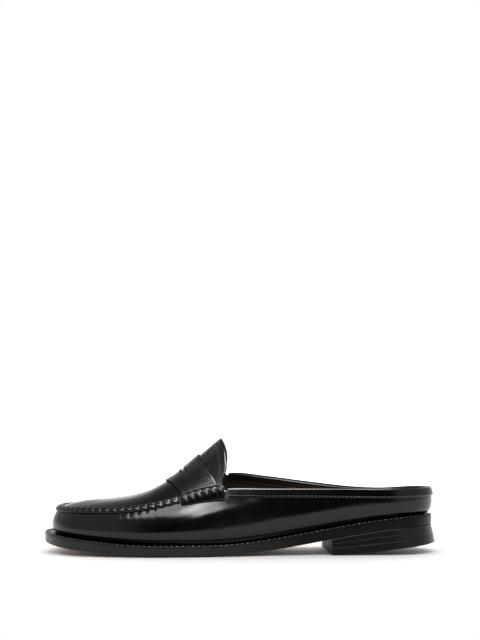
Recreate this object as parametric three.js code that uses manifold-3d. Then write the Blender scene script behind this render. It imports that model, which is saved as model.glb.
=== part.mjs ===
// A slip-on penny loafer mule for the left foot: a low-backed moccasin upper on a welted leather sole.
// Millimetres, +Z up. The toe points along -X, the heel along +X, the lateral (outer) side is -Y.
// The floor is the plane Z = 0, and the origin is the middle of the shoe's footprint.
import * as THREE from 'three';
import { mergeVertices } from 'three/addons/utils/BufferGeometryUtils.js';
import Module from 'manifold-3d';

const wasm = await Module();
wasm.setup();

// Overall sizes
const SOLE_LENGTH = 265.8; // toe tip to the back of the welt
const BALL_WIDTH = 94; // across the sole at the ball of the foot
const HEEL_RAKE = 2.2; // how far the heel's foot stands behind the welt
const COLLAR_HEIGHT = 42.8; // floor to the edge of the upper at the back of the heel
const INSTEP_HEIGHT = 77; // floor to the tip of the tongue

// The sole and the floor line
const OUTSOLE_THICKNESS = 3.9;
const WELT_THICKNESS = 2.8;
const WELT_REACH = 1.5; // how far the welt reaches inside the upper's wall
const WELT_CHAMFER = 0.6;
const OUTSOLE_STEP = 0.3; // the outsole's edge stands this far inside the welt's
const SOLE_CHAMFER = 0.8;
const TOE_SPRING = 6.8; // lift of the sole under the toe tip
const HEEL_SEAT_RISE = 18.4; // lift of the sole over the heel
const TREAD_FRONT = 76; // toe tip to the start of the flat forefoot tread
const TREAD_LENGTH = 36;
const SPRING_POWER = 1.5;

// The heel
const BREAST_AT = 195.2; // toe tip to the heel's front face, on the lateral side
const BREAST_SKEW = 3; // how much further forward the medial end of that face is
const HEEL_FLAT = 6; // length of the heel's foot that rests on the floor
const HEEL_LIFT = 6.8; // how far the back of the heel's foot is off the floor
const TOP_PIECE_THICKNESS = 5;
const HEEL_LIFTS = 2;
const HEEL_SIDE_FLARE = 0.8; // how far the heel's foot stands outside its top at the sides
const HEEL_ROUND_FROM = 0.85; // share of the sole's length where that grows to the rake
const HEEL_TOP_DEPTH = 0.62; // share of the flare that is reached at the top piece's upper face

// The upper
const WALL_THICKNESS = 2;
const WELT_MARGIN = 5; // the welt's ledge around the upper
const SEAM_INSET = 12; // the moccasin seam's place inside the sole's edge, at the ball
const FOOT_TUCK = 1.9; // how far the wall turns in above the welt
const FOOT_TUCK_SHARE = 0.2;
const BELLY_LEVEL = 0.45;
const THROAT_AT = 124.5; // toe tip to the throat's corners
const TIP_AT = 120.4; // toe tip to the tip of the tongue
const PLUG_CENTRE_AT = 30; // toe tip to where the plug's crest line begins
const THROAT_BOW = 1.6; // how far the tongue's edge bows back between corner and tip
const THROAT_NOTCH = 2.4; // how far it turns forward just above the corner
const NOTCH_RISE = 0.09;
const CREST_SKEW = 1.5; // the instep's crest lies this far to the medial side of the middle

// Pieces laid on the upper
const GAP = 0.3;
const STRAP_THICKNESS = 1;
const STRAP_FRONT_AT = 83; // toe tip to the saddle strap's front edge, on the crest
const STRAP_FRONT_SWEEP = 12; // how much further back that edge is at the seam
const STRAP_BACK_AT = 105.6;
const STRAP_BACK_SWEEP = 12.8;
const STRAP_FRONT_POWER = 1.6;
const STRAP_BACK_POWER = 2;
const SLOT_AT = 95.6; // toe tip to the middle of the slot
const SLOT_LENGTH = 28;
const SLOT_WIDTH = 3.6;
const SLOT_SWEEP = 0.6; // how far the slot's ends stand back from its middle
const SLOT_FLARE = 0.9; // how much wider its ends are
const ROLL_FRONT_AT = 94.5;
const ROLL_BACK_AT = 123.5;
const ROLL_FRONT_WIDTH = 7;
const ROLL_BACK_WIDTH = 9.4;
const ROLL_FRONT_DROP = 1; // how far the roll's middle lies below the seam
const ROLL_BACK_DROP = 2.4;
const ROLL_FRONT_HEIGHT = 2.4;
const ROLL_BACK_HEIGHT = 4;
const SEAM_WIDTH = 4.4;
const SEAM_HEIGHT = 1.7;
const BAND_THICKNESS = 0.9;
const BAND_OUTSIDE = 5.2;
const BAND_INSIDE = 5.5;
const BAND_FROM_THROAT = 1.2;
const INSOLE_THICKNESS = 2.2;
const INSOLE_CLEARANCE = 0.5;
const INSOLE_CHAMFER = 0.6;
const INSOLE_FLARE = 0.8; // how far the insole widens over its thickness

// Mesh steps
const FORE_STATIONS = 24;
const REAR_STATIONS = 24;
const HEEL_CLOSENESS = 1.3;
const WALL_ROWS = 6;
const PLUG_ROWS = 8;
const PLUG_CLOSENESS = 1.25;
const STRAP_COLUMNS = 9;
const STRAP_ROWS = 7;
const ROLL_STATIONS = 10;
const SEAM_STATIONS = 26;
const SOLE_STATIONS = 44;
const HEEL_STATIONS = 14;
const EDGE_SAMPLES = 400;

// The sole's edge: at is the share of the sole's length from the toe tip, the rest shares of the ball width
const EDGE = [
  { at: 0.008, lateral: -0.143, medial: 0.2 },
  { at: 0.035, lateral: -0.282, medial: 0.322 },
  { at: 0.068, lateral: -0.367, medial: 0.393 },
  { at: 0.106, lateral: -0.418, medial: 0.436 },
  { at: 0.17, lateral: -0.463, medial: 0.478 },
  { at: 0.245, lateral: -0.494, medial: 0.5 },
  { at: 0.315, lateral: -0.5, medial: 0.489 },
  { at: 0.385, lateral: -0.484, medial: 0.451 },
  { at: 0.46, lateral: -0.449, medial: 0.383 },
  { at: 0.545, lateral: -0.402, medial: 0.316 },
  { at: 0.63, lateral: -0.361, medial: 0.279 },
  { at: 0.715, lateral: -0.338, medial: 0.274 },
  { at: 0.79, lateral: -0.328, medial: 0.292 },
  { at: 0.857, lateral: -0.324, medial: 0.305 },
  { at: 0.91, lateral: -0.306, medial: 0.296 },
  { at: 0.952, lateral: -0.257, medial: 0.252 },
  { at: 0.98, lateral: -0.172, medial: 0.171 },
  { at: 0.996, lateral: -0.072, medial: 0.072 },
];
const TOE_TIP_SHARE = 0.032;

// The upper's sections, from the toe tip to the back of the heel. foot and belly are shares of the welt
// margin, seam is a share of the seam inset, and lateral and medial are shares of the collar height.
const SECTION_COLUMNS = [
  'at', 'foot', 'lateralBelly', 'medialBelly', 'lateralSeam', 'medialSeam', 'lateral', 'medial',
];
const SECTIONS = [
  [0, 1.15, 0.97, 0.97, 0.77, 0.77, 0.685, 0.685],
  [0.05, 1.15, 0.93, 0.93, 0.85, 0.85, 0.685, 0.69],
  [0.12, 1.15, 0.82, 0.82, 0.89, 0.89, 0.687, 0.722],
  [0.2, 1.1, 0.68, 0.66, 0.9, 0.9, 0.7, 0.738],
  [0.27, 1.04, 0.65, 0.54, 0.9, 0.9, 0.744, 0.782],
  [0.35, 0.94, 0.66, 0.32, 0.93, 0.84, 0.848, 0.908],
  [0.42, 0.84, 0.62, 0.1, 0.94, 0.52, 0.95, 1.06],
  [0.475, 0.85, 0.6, -0.12, 0.84, 0.24, 1, 1.18],
  [0.58, 0.84, 0.44, -0.3, 0.54, 0.05, 0.998, 1.13],
  [0.7, 0.84, 0.3, -0.15, 0.33, 0.1, 0.995, 1.035],
  [0.8, 0.86, 0.4, 0.2, 0.23, 0.18, 0.99, 0.965],
  [0.88, 0.82, 0.36, 0.36, 0.2, 0.2, 0.985, 0.944],
  [0.95, 0.64, 0.2, 0.2, 0.15, 0.15, 0.99, 0.972],
  [1, 0.4, -0.1, -0.1, 0.07, 0.07, 1, 1],
].map((row) => Object.fromEntries(row.map((value, n) => [SECTION_COLUMNS[n], value])));

// The crest line of the plug and tongue: at as above, height a share of the instep height.
const CREST = [
  { at: 0.03, height: 0.384 },
  { at: 0.12, height: 0.447 },
  { at: 0.18, height: 0.464 },
  { at: 0.231, height: 0.494 },
  { at: 0.275, height: 0.546 },
  { at: 0.311, height: 0.613 },
  { at: 0.346, height: 0.69 },
  { at: 0.366, height: 0.746 },
  { at: 0.397, height: 0.838 },
  { at: 0.43, height: 0.932 },
  { at: 0.454, height: 1 },
];

// Half-round section of the rolls and the seam, as shares of half the width and of the height
const ROLL_SECTION = [
  [-1, 0], [-0.94, 0.5], [-0.55, 0.9], [0, 1], [0.55, 0.9], [0.94, 0.5], [1, 0], [0, 0],
];

// Numbers and tables
const toeX = -(SOLE_LENGTH + HEEL_RAKE) / 2;
const stationX = (distance) => toeX + distance;
const shareOf = (x) => THREE.MathUtils.clamp((x - toeX) / SOLE_LENGTH, 0, 1);
const smooth = (t) => THREE.MathUtils.smoothstep(t, 0, 1);
const mix = THREE.MathUtils.lerp;

function steps(count, from = 0, to = 1) {
  return Array.from({ length: count + 1 }, (_, n) => mix(from, to, n / count));
}

function column(rows, name) {
  const curve = new THREE.CubicInterpolant(rows.map((r) => r.at), rows.map((r) => r[name]), 1);
  return (at) => curve.evaluate(THREE.MathUtils.clamp(at, rows[0].at, rows.at(-1).at))[0];
}

function bisect(f, target, low, high) {
  const rising = f(high) > f(low);
  for (let n = 0; n < 40; n++) {
    const middle = (low + high) / 2;
    if (f(middle) < target === rising) low = middle;
    else high = middle;
  }
  return (low + high) / 2;
}

// Heights of the sole's own surfaces over the floor
const treadFrontX = stationX(TREAD_FRONT);
const waistX = treadFrontX + TREAD_LENGTH;
const weltBackX = stationX(SOLE_LENGTH);

function soleBottom(x) {
  if (x < treadFrontX) return TOE_SPRING * ((treadFrontX - x) / (treadFrontX - toeX)) ** SPRING_POWER;
  return HEEL_SEAT_RISE * smooth((x - waistX) / (weltBackX - waistX));
}
const outsoleTop = (x) => soleBottom(x) + OUTSOLE_THICKNESS;
const weltTop = (x) => outsoleTop(x) + GAP + WELT_THICKNESS;

// The sole's edge in plan, one run per side from the toe tip to the back of the heel
function edgeRuns() {
  const row = (r, name) => new THREE.Vector3(stationX(r.at * SOLE_LENGTH), r[name] * BALL_WIDTH, 0);
  const toe = new THREE.Vector3(toeX, TOE_TIP_SHARE * BALL_WIDTH, 0);
  const heel = new THREE.Vector3(weltBackX, 0, 0);
  const lateral = EDGE.map((r) => row(r, 'lateral'));
  const medial = EDGE.map((r) => row(r, 'medial')).reverse();
  const loop = new THREE.CatmullRomCurve3([toe, ...lateral, heel, ...medial], true, 'centripetal');
  const heelAt = (lateral.length + 1) / (lateral.length + medial.length + 2);
  const sample = (from, to) => steps(EDGE_SAMPLES, from, to).map((at) => loop.getPoint(at));
  return { lateral: sample(0, heelAt), medial: sample(1, heelAt) };
}

function alongRun(points) {
  const lengths = [0];
  for (let n = 1; n < points.length; n++) {
    lengths.push(lengths[n - 1] + points[n].distanceTo(points[n - 1]));
  }
  return (share) => {
    const wanted = THREE.MathUtils.clamp(share, 0, 1) * lengths.at(-1);
    let n = Math.max(1, Math.floor(share * EDGE_SAMPLES));
    while (n > 1 && lengths[n - 1] > wanted) n--;
    while (n < points.length - 1 && lengths[n] < wanted) n++;
    const part = (wanted - lengths[n - 1]) / (lengths[n] - lengths[n - 1]);
    return points[n - 1].clone().lerp(points[n], part);
  };
}

const runs = edgeRuns();
const widest = new THREE.Box3().setFromPoints([...runs.lateral, ...runs.medial]);
const sideways = -(widest.min.y + widest.max.y) / 2;
for (const run of Object.values(runs)) for (const p of run) p.y += sideways;
const edgePoint = { lateral: alongRun(runs.lateral), medial: alongRun(runs.medial) };
const MIRROR = { lateral: 1, medial: -1 };

function inward(side, share) {
  const step = 0.004;
  const ahead = edgePoint[side](Math.min(share + step, 1));
  const behind = edgePoint[side](Math.max(share - step, 0));
  const along = ahead.sub(behind).normalize();
  if (share === 0 || share === 1) along.set(0, share === 0 ? -MIRROR[side] : MIRROR[side], 0);
  return new THREE.Vector3(-along.y, along.x, 0).multiplyScalar(MIRROR[side]);
}

// A point inset inside the sole's edge, at height z(x). inset may depend on the place along the shoe
function inside(side, share, inset, z) {
  const edge = edgePoint[side](share);
  const depth = typeof inset === 'function' ? inset(shareOf(edge.x)) : inset;
  const p = edge.clone().addScaledVector(inward(side, share), depth);
  p.z = z(p.x);
  return p;
}

// The upper's outer surface: the wall up to the seam or collar line, and the plug up to the crest
const sections = Object.fromEntries(Object.keys(SECTIONS[0]).map((name) => [name, column(SECTIONS, name)]));
const crestHeight = column(CREST, 'height');

function wall(side, share, level) {
  const edge = edgePoint[side](share);
  const at = shareOf(edge.x);
  const foot = sections.foot(at) * WELT_MARGIN;
  const belly = sections[`${side}Belly`](at) * WELT_MARGIN;
  const seam = sections[`${side}Seam`](at) * SEAM_INSET;
  const rest = 1 - BELLY_LEVEL;
  const pull = (belly - rest * rest * foot - BELLY_LEVEL * BELLY_LEVEL * seam) / (2 * BELLY_LEVEL * rest);
  const tuck = FOOT_TUCK * Math.max(0, 1 - level / FOOT_TUCK_SHARE) ** 2;
  const down = 1 - level;
  const inset = down * down * foot + 2 * level * down * pull + level * level * seam + tuck;
  const p = inside(side, share, inset, () => 0);
  const bottom = weltTop(p.x) + GAP;
  p.z = mix(bottom, sections[side](at) * COLLAR_HEIGHT, level);
  return p;
}

const cornerShare = {};
for (const side of ['lateral', 'medial']) {
  cornerShare[side] = bisect((share) => wall(side, share, 1).x, stationX(THROAT_AT), 0.2, 0.7);
}

// rise is 0 at the seam and 1 on the crest, station 0 at the toe and 1 at the throat
function plug(side, station, rise) {
  const opposite = side === 'lateral' ? 'medial' : 'lateral';
  const seam = wall(side, station * cornerShare[side], 1);
  const other = wall(opposite, station * cornerShare[opposite], 1);
  const crestX = mix(stationX(PLUG_CENTRE_AT), stationX(TIP_AT), station ** 1.25);
  const crestY = (seam.y + other.y) / 2 + CREST_SKEW * smooth(station);
  const crest = new THREE.Vector3(crestX, crestY, crestHeight(shareOf(crestX)) * INSTEP_HEIGHT);
  const p = seam.clone().lerp(crest, rise);
  const power = mix(2.2, 1.9, station);
  p.z = mix(seam.z, crest.z, 1 - (1 - rise) ** power);
  p.x += THROAT_BOW * Math.sin(Math.PI * rise ** 0.7) ** 2 * station ** 4;
  const notch = rise / NOTCH_RISE;
  p.x -= THROAT_NOTCH * (notch * Math.exp(1 - notch)) ** 3 * station ** 8;
  return p;
}

// Distance w from the seam over the surface, down the wall if negative, and height off the surface
function runLength(point) {
  const count = 10;
  let total = 0;
  for (let n = 0; n < count; n++) total += point(n / count).distanceTo(point((n + 1) / count));
  return total;
}

function normalOf(point, a, b) {
  const step = 0.01;
  const lowA = Math.max(a - step, 0);
  const lowB = Math.max(b - step, 0);
  const du = point(Math.min(a + step, 1), b).sub(point(lowA, b));
  const dv = point(a, Math.min(b + step, 1)).sub(point(a, lowB));
  return du.cross(dv).normalize();
}

function overSurface(side, share, w, height) {
  const wallAt = (a, level) => wall(side, a, level);
  const down = runLength((level) => wall(side, share, level));
  const level = THREE.MathUtils.clamp(1 + Math.min(w, 0) / down, 0, 1);
  const point = wallAt(share, level);
  const normal = normalOf(wallAt, share, level).multiplyScalar(MIRROR[side]);
  if (share <= cornerShare[side]) {
    const station = share / cornerShare[side];
    const plugAt = (s, rise) => plug(side, s, rise);
    const across = runLength((rise) => plug(side, station, rise));
    const rise = THREE.MathUtils.clamp(Math.max(w, 0) / across, 0, 1);
    const plugNormal = normalOf(plugAt, station, rise).multiplyScalar(MIRROR[side]);
    if (w > 0) point.copy(plugAt(station, rise));
    const turn = SEAM_WIDTH / 2;
    normal.lerp(plugNormal, smooth((w + turn) / (2 * turn))).normalize();
  }
  return point.addScaledVector(normal, height);
}

// Solids from points and faces
function meshGeometry(points, faces) {
  let volume = 0;
  for (const [a, b, c] of faces) volume += points[a].dot(points[b].clone().cross(points[c]));
  const geometry = new THREE.BufferGeometry();
  const numbers = points.flatMap((p) => p.toArray());
  geometry.setAttribute('position', new THREE.Float32BufferAttribute(numbers, 3));
  geometry.setIndex(faces.flatMap(([a, b, c]) => (volume < 0 ? [a, c, b] : [a, b, c])));
  return geometry;
}

const quad = (a, b, c, d) => [[a, b, c], [a, c, d]];

// An open sheet of faces made into a solid between two offsets along its normals
function thicken(points, faces, outer, inner) {
  const sums = points.map(() => new THREE.Vector3());
  const flats = faces.map(([a, b, c]) => {
    const normal = points[b].clone().sub(points[a]).cross(points[c].clone().sub(points[a]));
    for (const n of [a, b, c]) sums[n].add(normal);
    return normal.normalize();
  });
  sums.forEach((n) => n.normalize());
  const spread = points.map(() => [0, 0]);
  faces.forEach((face, k) => {
    for (const n of face) {
      spread[n][0] += Math.max(sums[n].dot(flats[k]), 0);
      spread[n][1] += 1;
    }
  });
  const lean = (n) => Math.max(spread[n][0] / spread[n][1], 0.75);
  const offset = (n, h) => points[n].clone().addScaledVector(sums[n], h / lean(n));
  const all = [...points.map((_, n) => offset(n, outer)), ...points.map((_, n) => offset(n, inner))];
  const count = points.length;
  const edges = new Map();
  for (const [a, b, c] of faces) {
    for (const [from, to] of [[a, b], [b, c], [c, a]]) edges.set(`${from}_${to}`, [from, to]);
  }
  const walls = [];
  for (const [from, to] of edges.values()) {
    if (!edges.has(`${to}_${from}`)) walls.push(...quad(to, from, from + count, to + count));
  }
  const under = faces.map(([a, b, c]) => [a + count, c + count, b + count]);
  return meshGeometry(all, [...faces, ...under, ...walls]);
}

// A loft through loops of points, closed on itself or capped by the outline's own triangles
function loft(loops, outline) {
  const size = loops[0].length;
  const faces = [];
  const count = outline ? loops.length - 1 : loops.length;
  for (let i = 0; i < count; i++) {
    const next = (i + 1) % loops.length;
    for (let j = 0; j < size; j++) {
      const k = (j + 1) % size;
      faces.push(...quad(i * size + j, next * size + j, next * size + k, i * size + k));
    }
  }
  if (outline) {
    const flat = outline.map(([a, b]) => new THREE.Vector2(a, b));
    const last = (loops.length - 1) * size;
    for (const [a, b, c] of THREE.ShapeUtils.triangulateShape(flat, [])) {
      const turn = THREE.ShapeUtils.area([flat[a], flat[b], flat[c]]) * THREE.ShapeUtils.area(flat);
      const [p, q] = turn > 0 ? [b, c] : [c, b];
      faces.push([a, p, q], [last + a, last + q, last + p]);
    }
  }
  return meshGeometry(loops.flat(), faces);
}

// A plate through levels, each {inset, z}, over pairs of shares along the lateral and medial edges
function plate(pairs, levels) {
  const pointed = pairs[0][0] === 0;
  const ring = [
    ...pairs.map(([lateral]) => ['lateral', lateral]),
    ...pairs.slice(pointed ? 1 : 0, -1).reverse().map(([, medial]) => ['medial', medial]),
  ];
  const loops = levels.map(({ inset, z }) => ring.map(([side, share]) => inside(side, share, inset, z)));
  const size = ring.length;
  const faces = [];
  for (let i = 0; i < levels.length - 1; i++) {
    for (let j = 0; j < size; j++) {
      const k = (j + 1) % size;
      faces.push(...quad(i * size + j, i * size + k, (i + 1) * size + k, (i + 1) * size + j));
    }
  }
  const partner = (j) => (pointed ? (size - j) % size : size - 1 - j);
  const last = (levels.length - 1) * size;
  for (let j = 0; j < pairs.length - 1; j++) {
    const square = [j, j + 1, partner(j + 1), partner(j)];
    const corners = square.filter((n, k) => square.indexOf(n) === k);
    for (let k = 1; k < corners.length - 1; k++) {
      faces.push([corners[0], corners[k + 1], corners[k]]);
      faces.push([corners[0] + last, corners[k] + last, corners[k + 1] + last]);
    }
  }
  return meshGeometry(loops.flat(), faces);
}

function toManifold(geometry) {
  const bare = geometry.clone();
  bare.deleteAttribute('normal');
  bare.deleteAttribute('uv');
  const merged = mergeVertices(bare, 1e-4);
  return new wasm.Manifold(new wasm.Mesh({
    numProp: 3,
    vertProperties: new Float32Array(merged.attributes.position.array),
    triVerts: new Uint32Array(merged.index.array),
  }));
}

function fromManifold(solid) {
  const mesh = solid.getMesh();
  const geometry = new THREE.BufferGeometry();
  geometry.setAttribute('position', new THREE.Float32BufferAttribute(mesh.vertProperties, 3));
  geometry.setIndex(Array.from(mesh.triVerts));
  return geometry;
}

// Where a piece begins and ends along the two edges
const shareAtX = (side, x) => bisect((share) => wall(side, share, 1).x, x, 0.05, 0.9);

// Stations behind the throat, closer together round the heel
function rearShares(side) {
  return steps(REAR_STATIONS).slice(1).map((t) => mix(cornerShare[side], 1, 1 - (1 - t) ** HEEL_CLOSENESS));
}

// The upper: wall, plug and tongue in one hollow shell, open at the collar, the throat and underneath
function upper() {
  const points = [];
  const crest = [];
  const add = (p) => points.push(p) - 1;
  const columns = [];
  const stationColumn = (side, share, station) => {
    const ids = steps(WALL_ROWS).map((level) => add(wall(side, share, level)));
    if (station !== null) {
      const index = Math.round(station * FORE_STATIONS);
      for (const t of steps(PLUG_ROWS).slice(1, -1)) {
        ids.push(add(plug(side, station, t ** PLUG_CLOSENESS)));
      }
      crest[index] ??= add(plug(side, station, 1));
      ids.push(crest[index]);
    }
    return ids;
  };
  const fore = steps(FORE_STATIONS);
  const rear = { lateral: rearShares('lateral'), medial: rearShares('medial').slice(0, -1).reverse() };
  for (const s of fore) columns.push(stationColumn('lateral', s * cornerShare.lateral, s));
  for (const share of rear.lateral) columns.push(stationColumn('lateral', share, null));
  for (const share of rear.medial) columns.push(stationColumn('medial', share, null));
  for (const s of fore.slice(1).reverse()) columns.push(stationColumn('medial', s * cornerShare.medial, s));
  const faces = [];
  columns.forEach((ids, i) => {
    const next = columns[(i + 1) % columns.length];
    for (let row = 0; row < Math.min(ids.length, next.length) - 1; row++) {
      const corners = [ids[row], next[row], next[row + 1], ids[row + 1]];
      const distinct = corners.filter((n, k) => corners.indexOf(n) === k);
      for (let k = 1; k < distinct.length - 1; k++) {
        faces.push([distinct[0], distinct[k], distinct[k + 1]]);
      }
    }
  });
  return thicken(points, faces, 0, -WALL_THICKNESS);
}

// The saddle strap over the plug, from roll to roll, with its slot
function rollTop(x) {
  const along = THREE.MathUtils.inverseLerp(stationX(ROLL_FRONT_AT), stationX(ROLL_BACK_AT), x);
  const front = ROLL_FRONT_WIDTH / 2 - ROLL_FRONT_DROP;
  const back = ROLL_BACK_WIDTH / 2 - ROLL_BACK_DROP;
  return mix(front, back, THREE.MathUtils.clamp(along, 0, 1));
}

function strapPoint(side, fromCrest, along) {
  const front = stationX(STRAP_FRONT_AT + STRAP_FRONT_SWEEP * fromCrest ** STRAP_FRONT_POWER);
  const back = stationX(STRAP_BACK_AT + STRAP_BACK_SWEEP * fromCrest ** STRAP_BACK_POWER);
  const x = mix(front, back, along);
  const riseAt = (station) => {
    const clear = rollTop(x) + 2 * GAP;
    return mix(1, clear / runLength((rise) => plug(side, station, rise)), fromCrest);
  };
  const station = bisect((s) => plug(side, s, riseAt(s)).x, x, 0.3, 1);
  return plug(side, station, riseAt(station));
}

function saddleStrap() {
  const half = steps(STRAP_COLUMNS);
  const across = [
    ...half.map((n) => ['lateral', 1 - n]),
    ...half.slice(1).map((n) => ['medial', n]),
  ];
  const rows = steps(STRAP_ROWS);
  const strapRow = ([side, fromCrest]) => rows.map((along) => strapPoint(side, fromCrest, along));
  const points = across.flatMap(strapRow);
  const faces = [];
  for (let i = 0; i < across.length - 1; i++) {
    for (let j = 0; j < STRAP_ROWS; j++) {
      const a = i * rows.length + j;
      faces.push(...quad(a, a + 1, a + 1 + rows.length, a + rows.length));
    }
  }
  const band = toManifold(thicken(points, faces, GAP + STRAP_THICKNESS, GAP));
  return fromManifold(band.subtract(toManifold(slotCutter())));
}

// A prism straight down through the strap, with a swept front edge and flared ends
function slotCutter() {
  const crest = strapPoint('lateral', 0, 0.5);
  const end = SLOT_LENGTH / 2;
  const front = stationX(SLOT_AT - SLOT_WIDTH / 2);
  const back = stationX(SLOT_AT + SLOT_WIDTH / 2);
  const spread = SLOT_SWEEP + SLOT_FLARE;
  const shape = new THREE.Shape();
  shape.moveTo(front + SLOT_SWEEP, crest.y - end);
  shape.quadraticCurveTo(front - SLOT_SWEEP, crest.y, front + SLOT_SWEEP, crest.y + end);
  shape.lineTo(back + spread, crest.y + end);
  shape.quadraticCurveTo(back - spread, crest.y, back + spread, crest.y - end);
  return new THREE.ExtrudeGeometry(shape, { depth: INSTEP_HEIGHT, bevelEnabled: false, curveSegments: 6 });
}

// The roll of rolled and bound leather over the seam at each end of the strap
function roll(side) {
  const from = shareAtX(side, stationX(ROLL_FRONT_AT));
  const to = shareAtX(side, stationX(ROLL_BACK_AT));
  const loops = steps(ROLL_STATIONS, from, to).map((share, n) => {
    const width = mix(ROLL_FRONT_WIDTH, ROLL_BACK_WIDTH, n / ROLL_STATIONS);
    const height = mix(ROLL_FRONT_HEIGHT, ROLL_BACK_HEIGHT, n / ROLL_STATIONS);
    const drop = mix(ROLL_FRONT_DROP, ROLL_BACK_DROP, n / ROLL_STATIONS);
    const place = ([w, h]) => overSurface(side, share, w * width / 2 - drop, GAP + h * height);
    return ROLL_SECTION.map(place);
  });
  return loft(loops, ROLL_SECTION);
}

// The raised seam from the lateral roll round the toe to the medial one
function mocSeam() {
  const end = (side) => shareAtX(side, stationX(ROLL_FRONT_AT) - GAP);
  const places = [
    ...steps(SEAM_STATIONS, end('lateral'), 0).map((share) => ['lateral', share]),
    ...steps(SEAM_STATIONS, 0, end('medial')).slice(1).map((share) => ['medial', share]),
  ];
  const section = ROLL_SECTION.map(([w, h]) => [w * SEAM_WIDTH / 2, GAP + h * SEAM_HEIGHT]);
  const loops = places.map(([side, share]) => section.map(([w, h]) => overSurface(side, share, w, h)));
  return loft(loops, section);
}

// The binding over the topline, from the lateral roll round the heel to the medial one
function collarBand() {
  const run = (side) => {
    const start = shareAtX(side, stationX(THROAT_AT + BAND_FROM_THROAT));
    const later = rearShares(side).filter((share) => share > start + 0.005);
    return [start, ...later].map((share) => [side, share]);
  };
  const places = [...run('lateral'), ...run('medial').slice(0, -1).reverse()];
  const outer = GAP + BAND_THICKNESS;
  const middle = -WALL_THICKNESS / 2;
  const inner = -WALL_THICKNESS - outer;
  const section = [
    [-BAND_OUTSIDE, GAP], [-BAND_OUTSIDE, outer], [-BAND_OUTSIDE / 2, outer], [0, outer],
    [outer * 0.8, outer * 0.4], [outer, middle], [outer * 0.8, inner + outer * 0.6], [0, inner],
    [-BAND_INSIDE / 2, inner], [-BAND_INSIDE, inner], [-BAND_INSIDE, -WALL_THICKNESS - GAP],
    [-BAND_INSIDE / 2, -WALL_THICKNESS - GAP], [0, -WALL_THICKNESS - GAP], [GAP, -WALL_THICKNESS - GAP],
    [GAP, GAP], [0, GAP], [-BAND_OUTSIDE / 2, GAP],
  ];
  const loops = places.map(([side, share]) => {
    const rim = wall(side, share, 1);
    const up = rim.clone().sub(overSurface(side, share, -BAND_OUTSIDE / 4, 0)).normalize();
    const beside = ([w, h]) => overSurface(side, share, Math.min(w, 0), h);
    return section.map((at) => beside(at).addScaledVector(up, Math.max(at[0], 0)));
  });
  return loft(loops, section);
}

// The sole pieces lie on pairs of points of the two edges that have the same x
const edgeShareAtX = (side, x) => bisect((share) => edgePoint[side](share).x, x, 0, 1);
const medialShare = (share) => edgeShareAtX('medial', edgePoint.lateral(share).x);
const solePair = (share) => [share, share % 1 === 0 ? share : medialShare(share)];
const solePairs = steps(SOLE_STATIONS).map(solePair);
const wallInset = (at) => sections.foot(at) * WELT_MARGIN + FOOT_TUCK + WALL_THICKNESS;
const weltInset = (at) => wallInset(at) + WELT_REACH;

function outsole() {
  return plate(solePairs, [
    { inset: OUTSOLE_STEP + SOLE_CHAMFER, z: soleBottom },
    { inset: OUTSOLE_STEP, z: (x) => soleBottom(x) + SOLE_CHAMFER },
    { inset: OUTSOLE_STEP, z: outsoleTop },
  ]);
}

function insole() {
  const seat = (x) => weltTop(x) + GAP;
  const shoulder = (x) => seat(x) + INSOLE_THICKNESS - INSOLE_CHAMFER;
  const clear = (at) => wallInset(at) + INSOLE_CLEARANCE;
  return plate(solePairs, [
    { inset: (at) => weltInset(at) + GAP, z: (x) => outsoleTop(x) + GAP },
    { inset: (at) => weltInset(at) + GAP, z: seat },
    { inset: clear, z: seat },
    { inset: (at) => clear(at) - INSOLE_FLARE, z: shoulder },
    { inset: clear, z: (x) => seat(x) + INSOLE_THICKNESS },
  ]);
}

function welt() {
  const ring = [
    ...solePairs.map(([lateral]) => ['lateral', lateral]),
    ...solePairs.slice(1, -1).reverse().map(([, medial]) => ['medial', medial]),
  ];
  const bottom = (x) => outsoleTop(x) + GAP;
  return loft(ring.map(([side, share]) => [
    inside(side, share, 0, bottom),
    inside(side, share, 0, (x) => weltTop(x) - WELT_CHAMFER),
    inside(side, share, WELT_CHAMFER, weltTop),
    inside(side, share, weltInset, weltTop),
    inside(side, share, weltInset, bottom),
  ]));
}

// The heel: lifts between the outsole and the top piece that meets the floor
const breastX = stationX(BREAST_AT);
const heelFlatX = breastX + HEEL_FLAT;
const heelBackX = weltBackX + HEEL_RAKE;
const heelFoot = (x) => HEEL_LIFT * Math.max(0, (x - heelFlatX) / (heelBackX - heelFlatX));
const topPieceTop = (x) => heelFoot(x) + TOP_PIECE_THICKNESS;

function heelPairs() {
  const breast = edgeShareAtX('lateral', breastX);
  const flatEnd = edgeShareAtX('lateral', heelFlatX);
  const shares = [...steps(3, breast, flatEnd), ...steps(HEEL_STATIONS, flatEnd, 1).slice(1)];
  return shares.map((share) => {
    if (share === 1) return [1, 1];
    const x = edgePoint.lateral(share).x;
    const skew = BREAST_SKEW * (1 - share) / (1 - breast);
    return [share, edgeShareAtX('medial', x - skew)];
  });
}

function heelLevel(depth, z) {
  const round = (at) => smooth((at - HEEL_ROUND_FROM) / (1 - HEEL_ROUND_FROM));
  const flare = (at) => mix(HEEL_SIDE_FLARE, HEEL_RAKE, round(at));
  return { inset: (at) => OUTSOLE_STEP - (OUTSOLE_STEP + flare(at)) * depth, z };
}

function topPiece() {
  const pairs = heelPairs();
  const chamfered = heelLevel(1, heelFoot);
  return plate(pairs, [
    { inset: (at) => chamfered.inset(at) + SOLE_CHAMFER, z: heelFoot },
    heelLevel(1, (x) => heelFoot(x) + SOLE_CHAMFER),
    heelLevel(HEEL_TOP_DEPTH, topPieceTop),
  ]);
}

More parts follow.
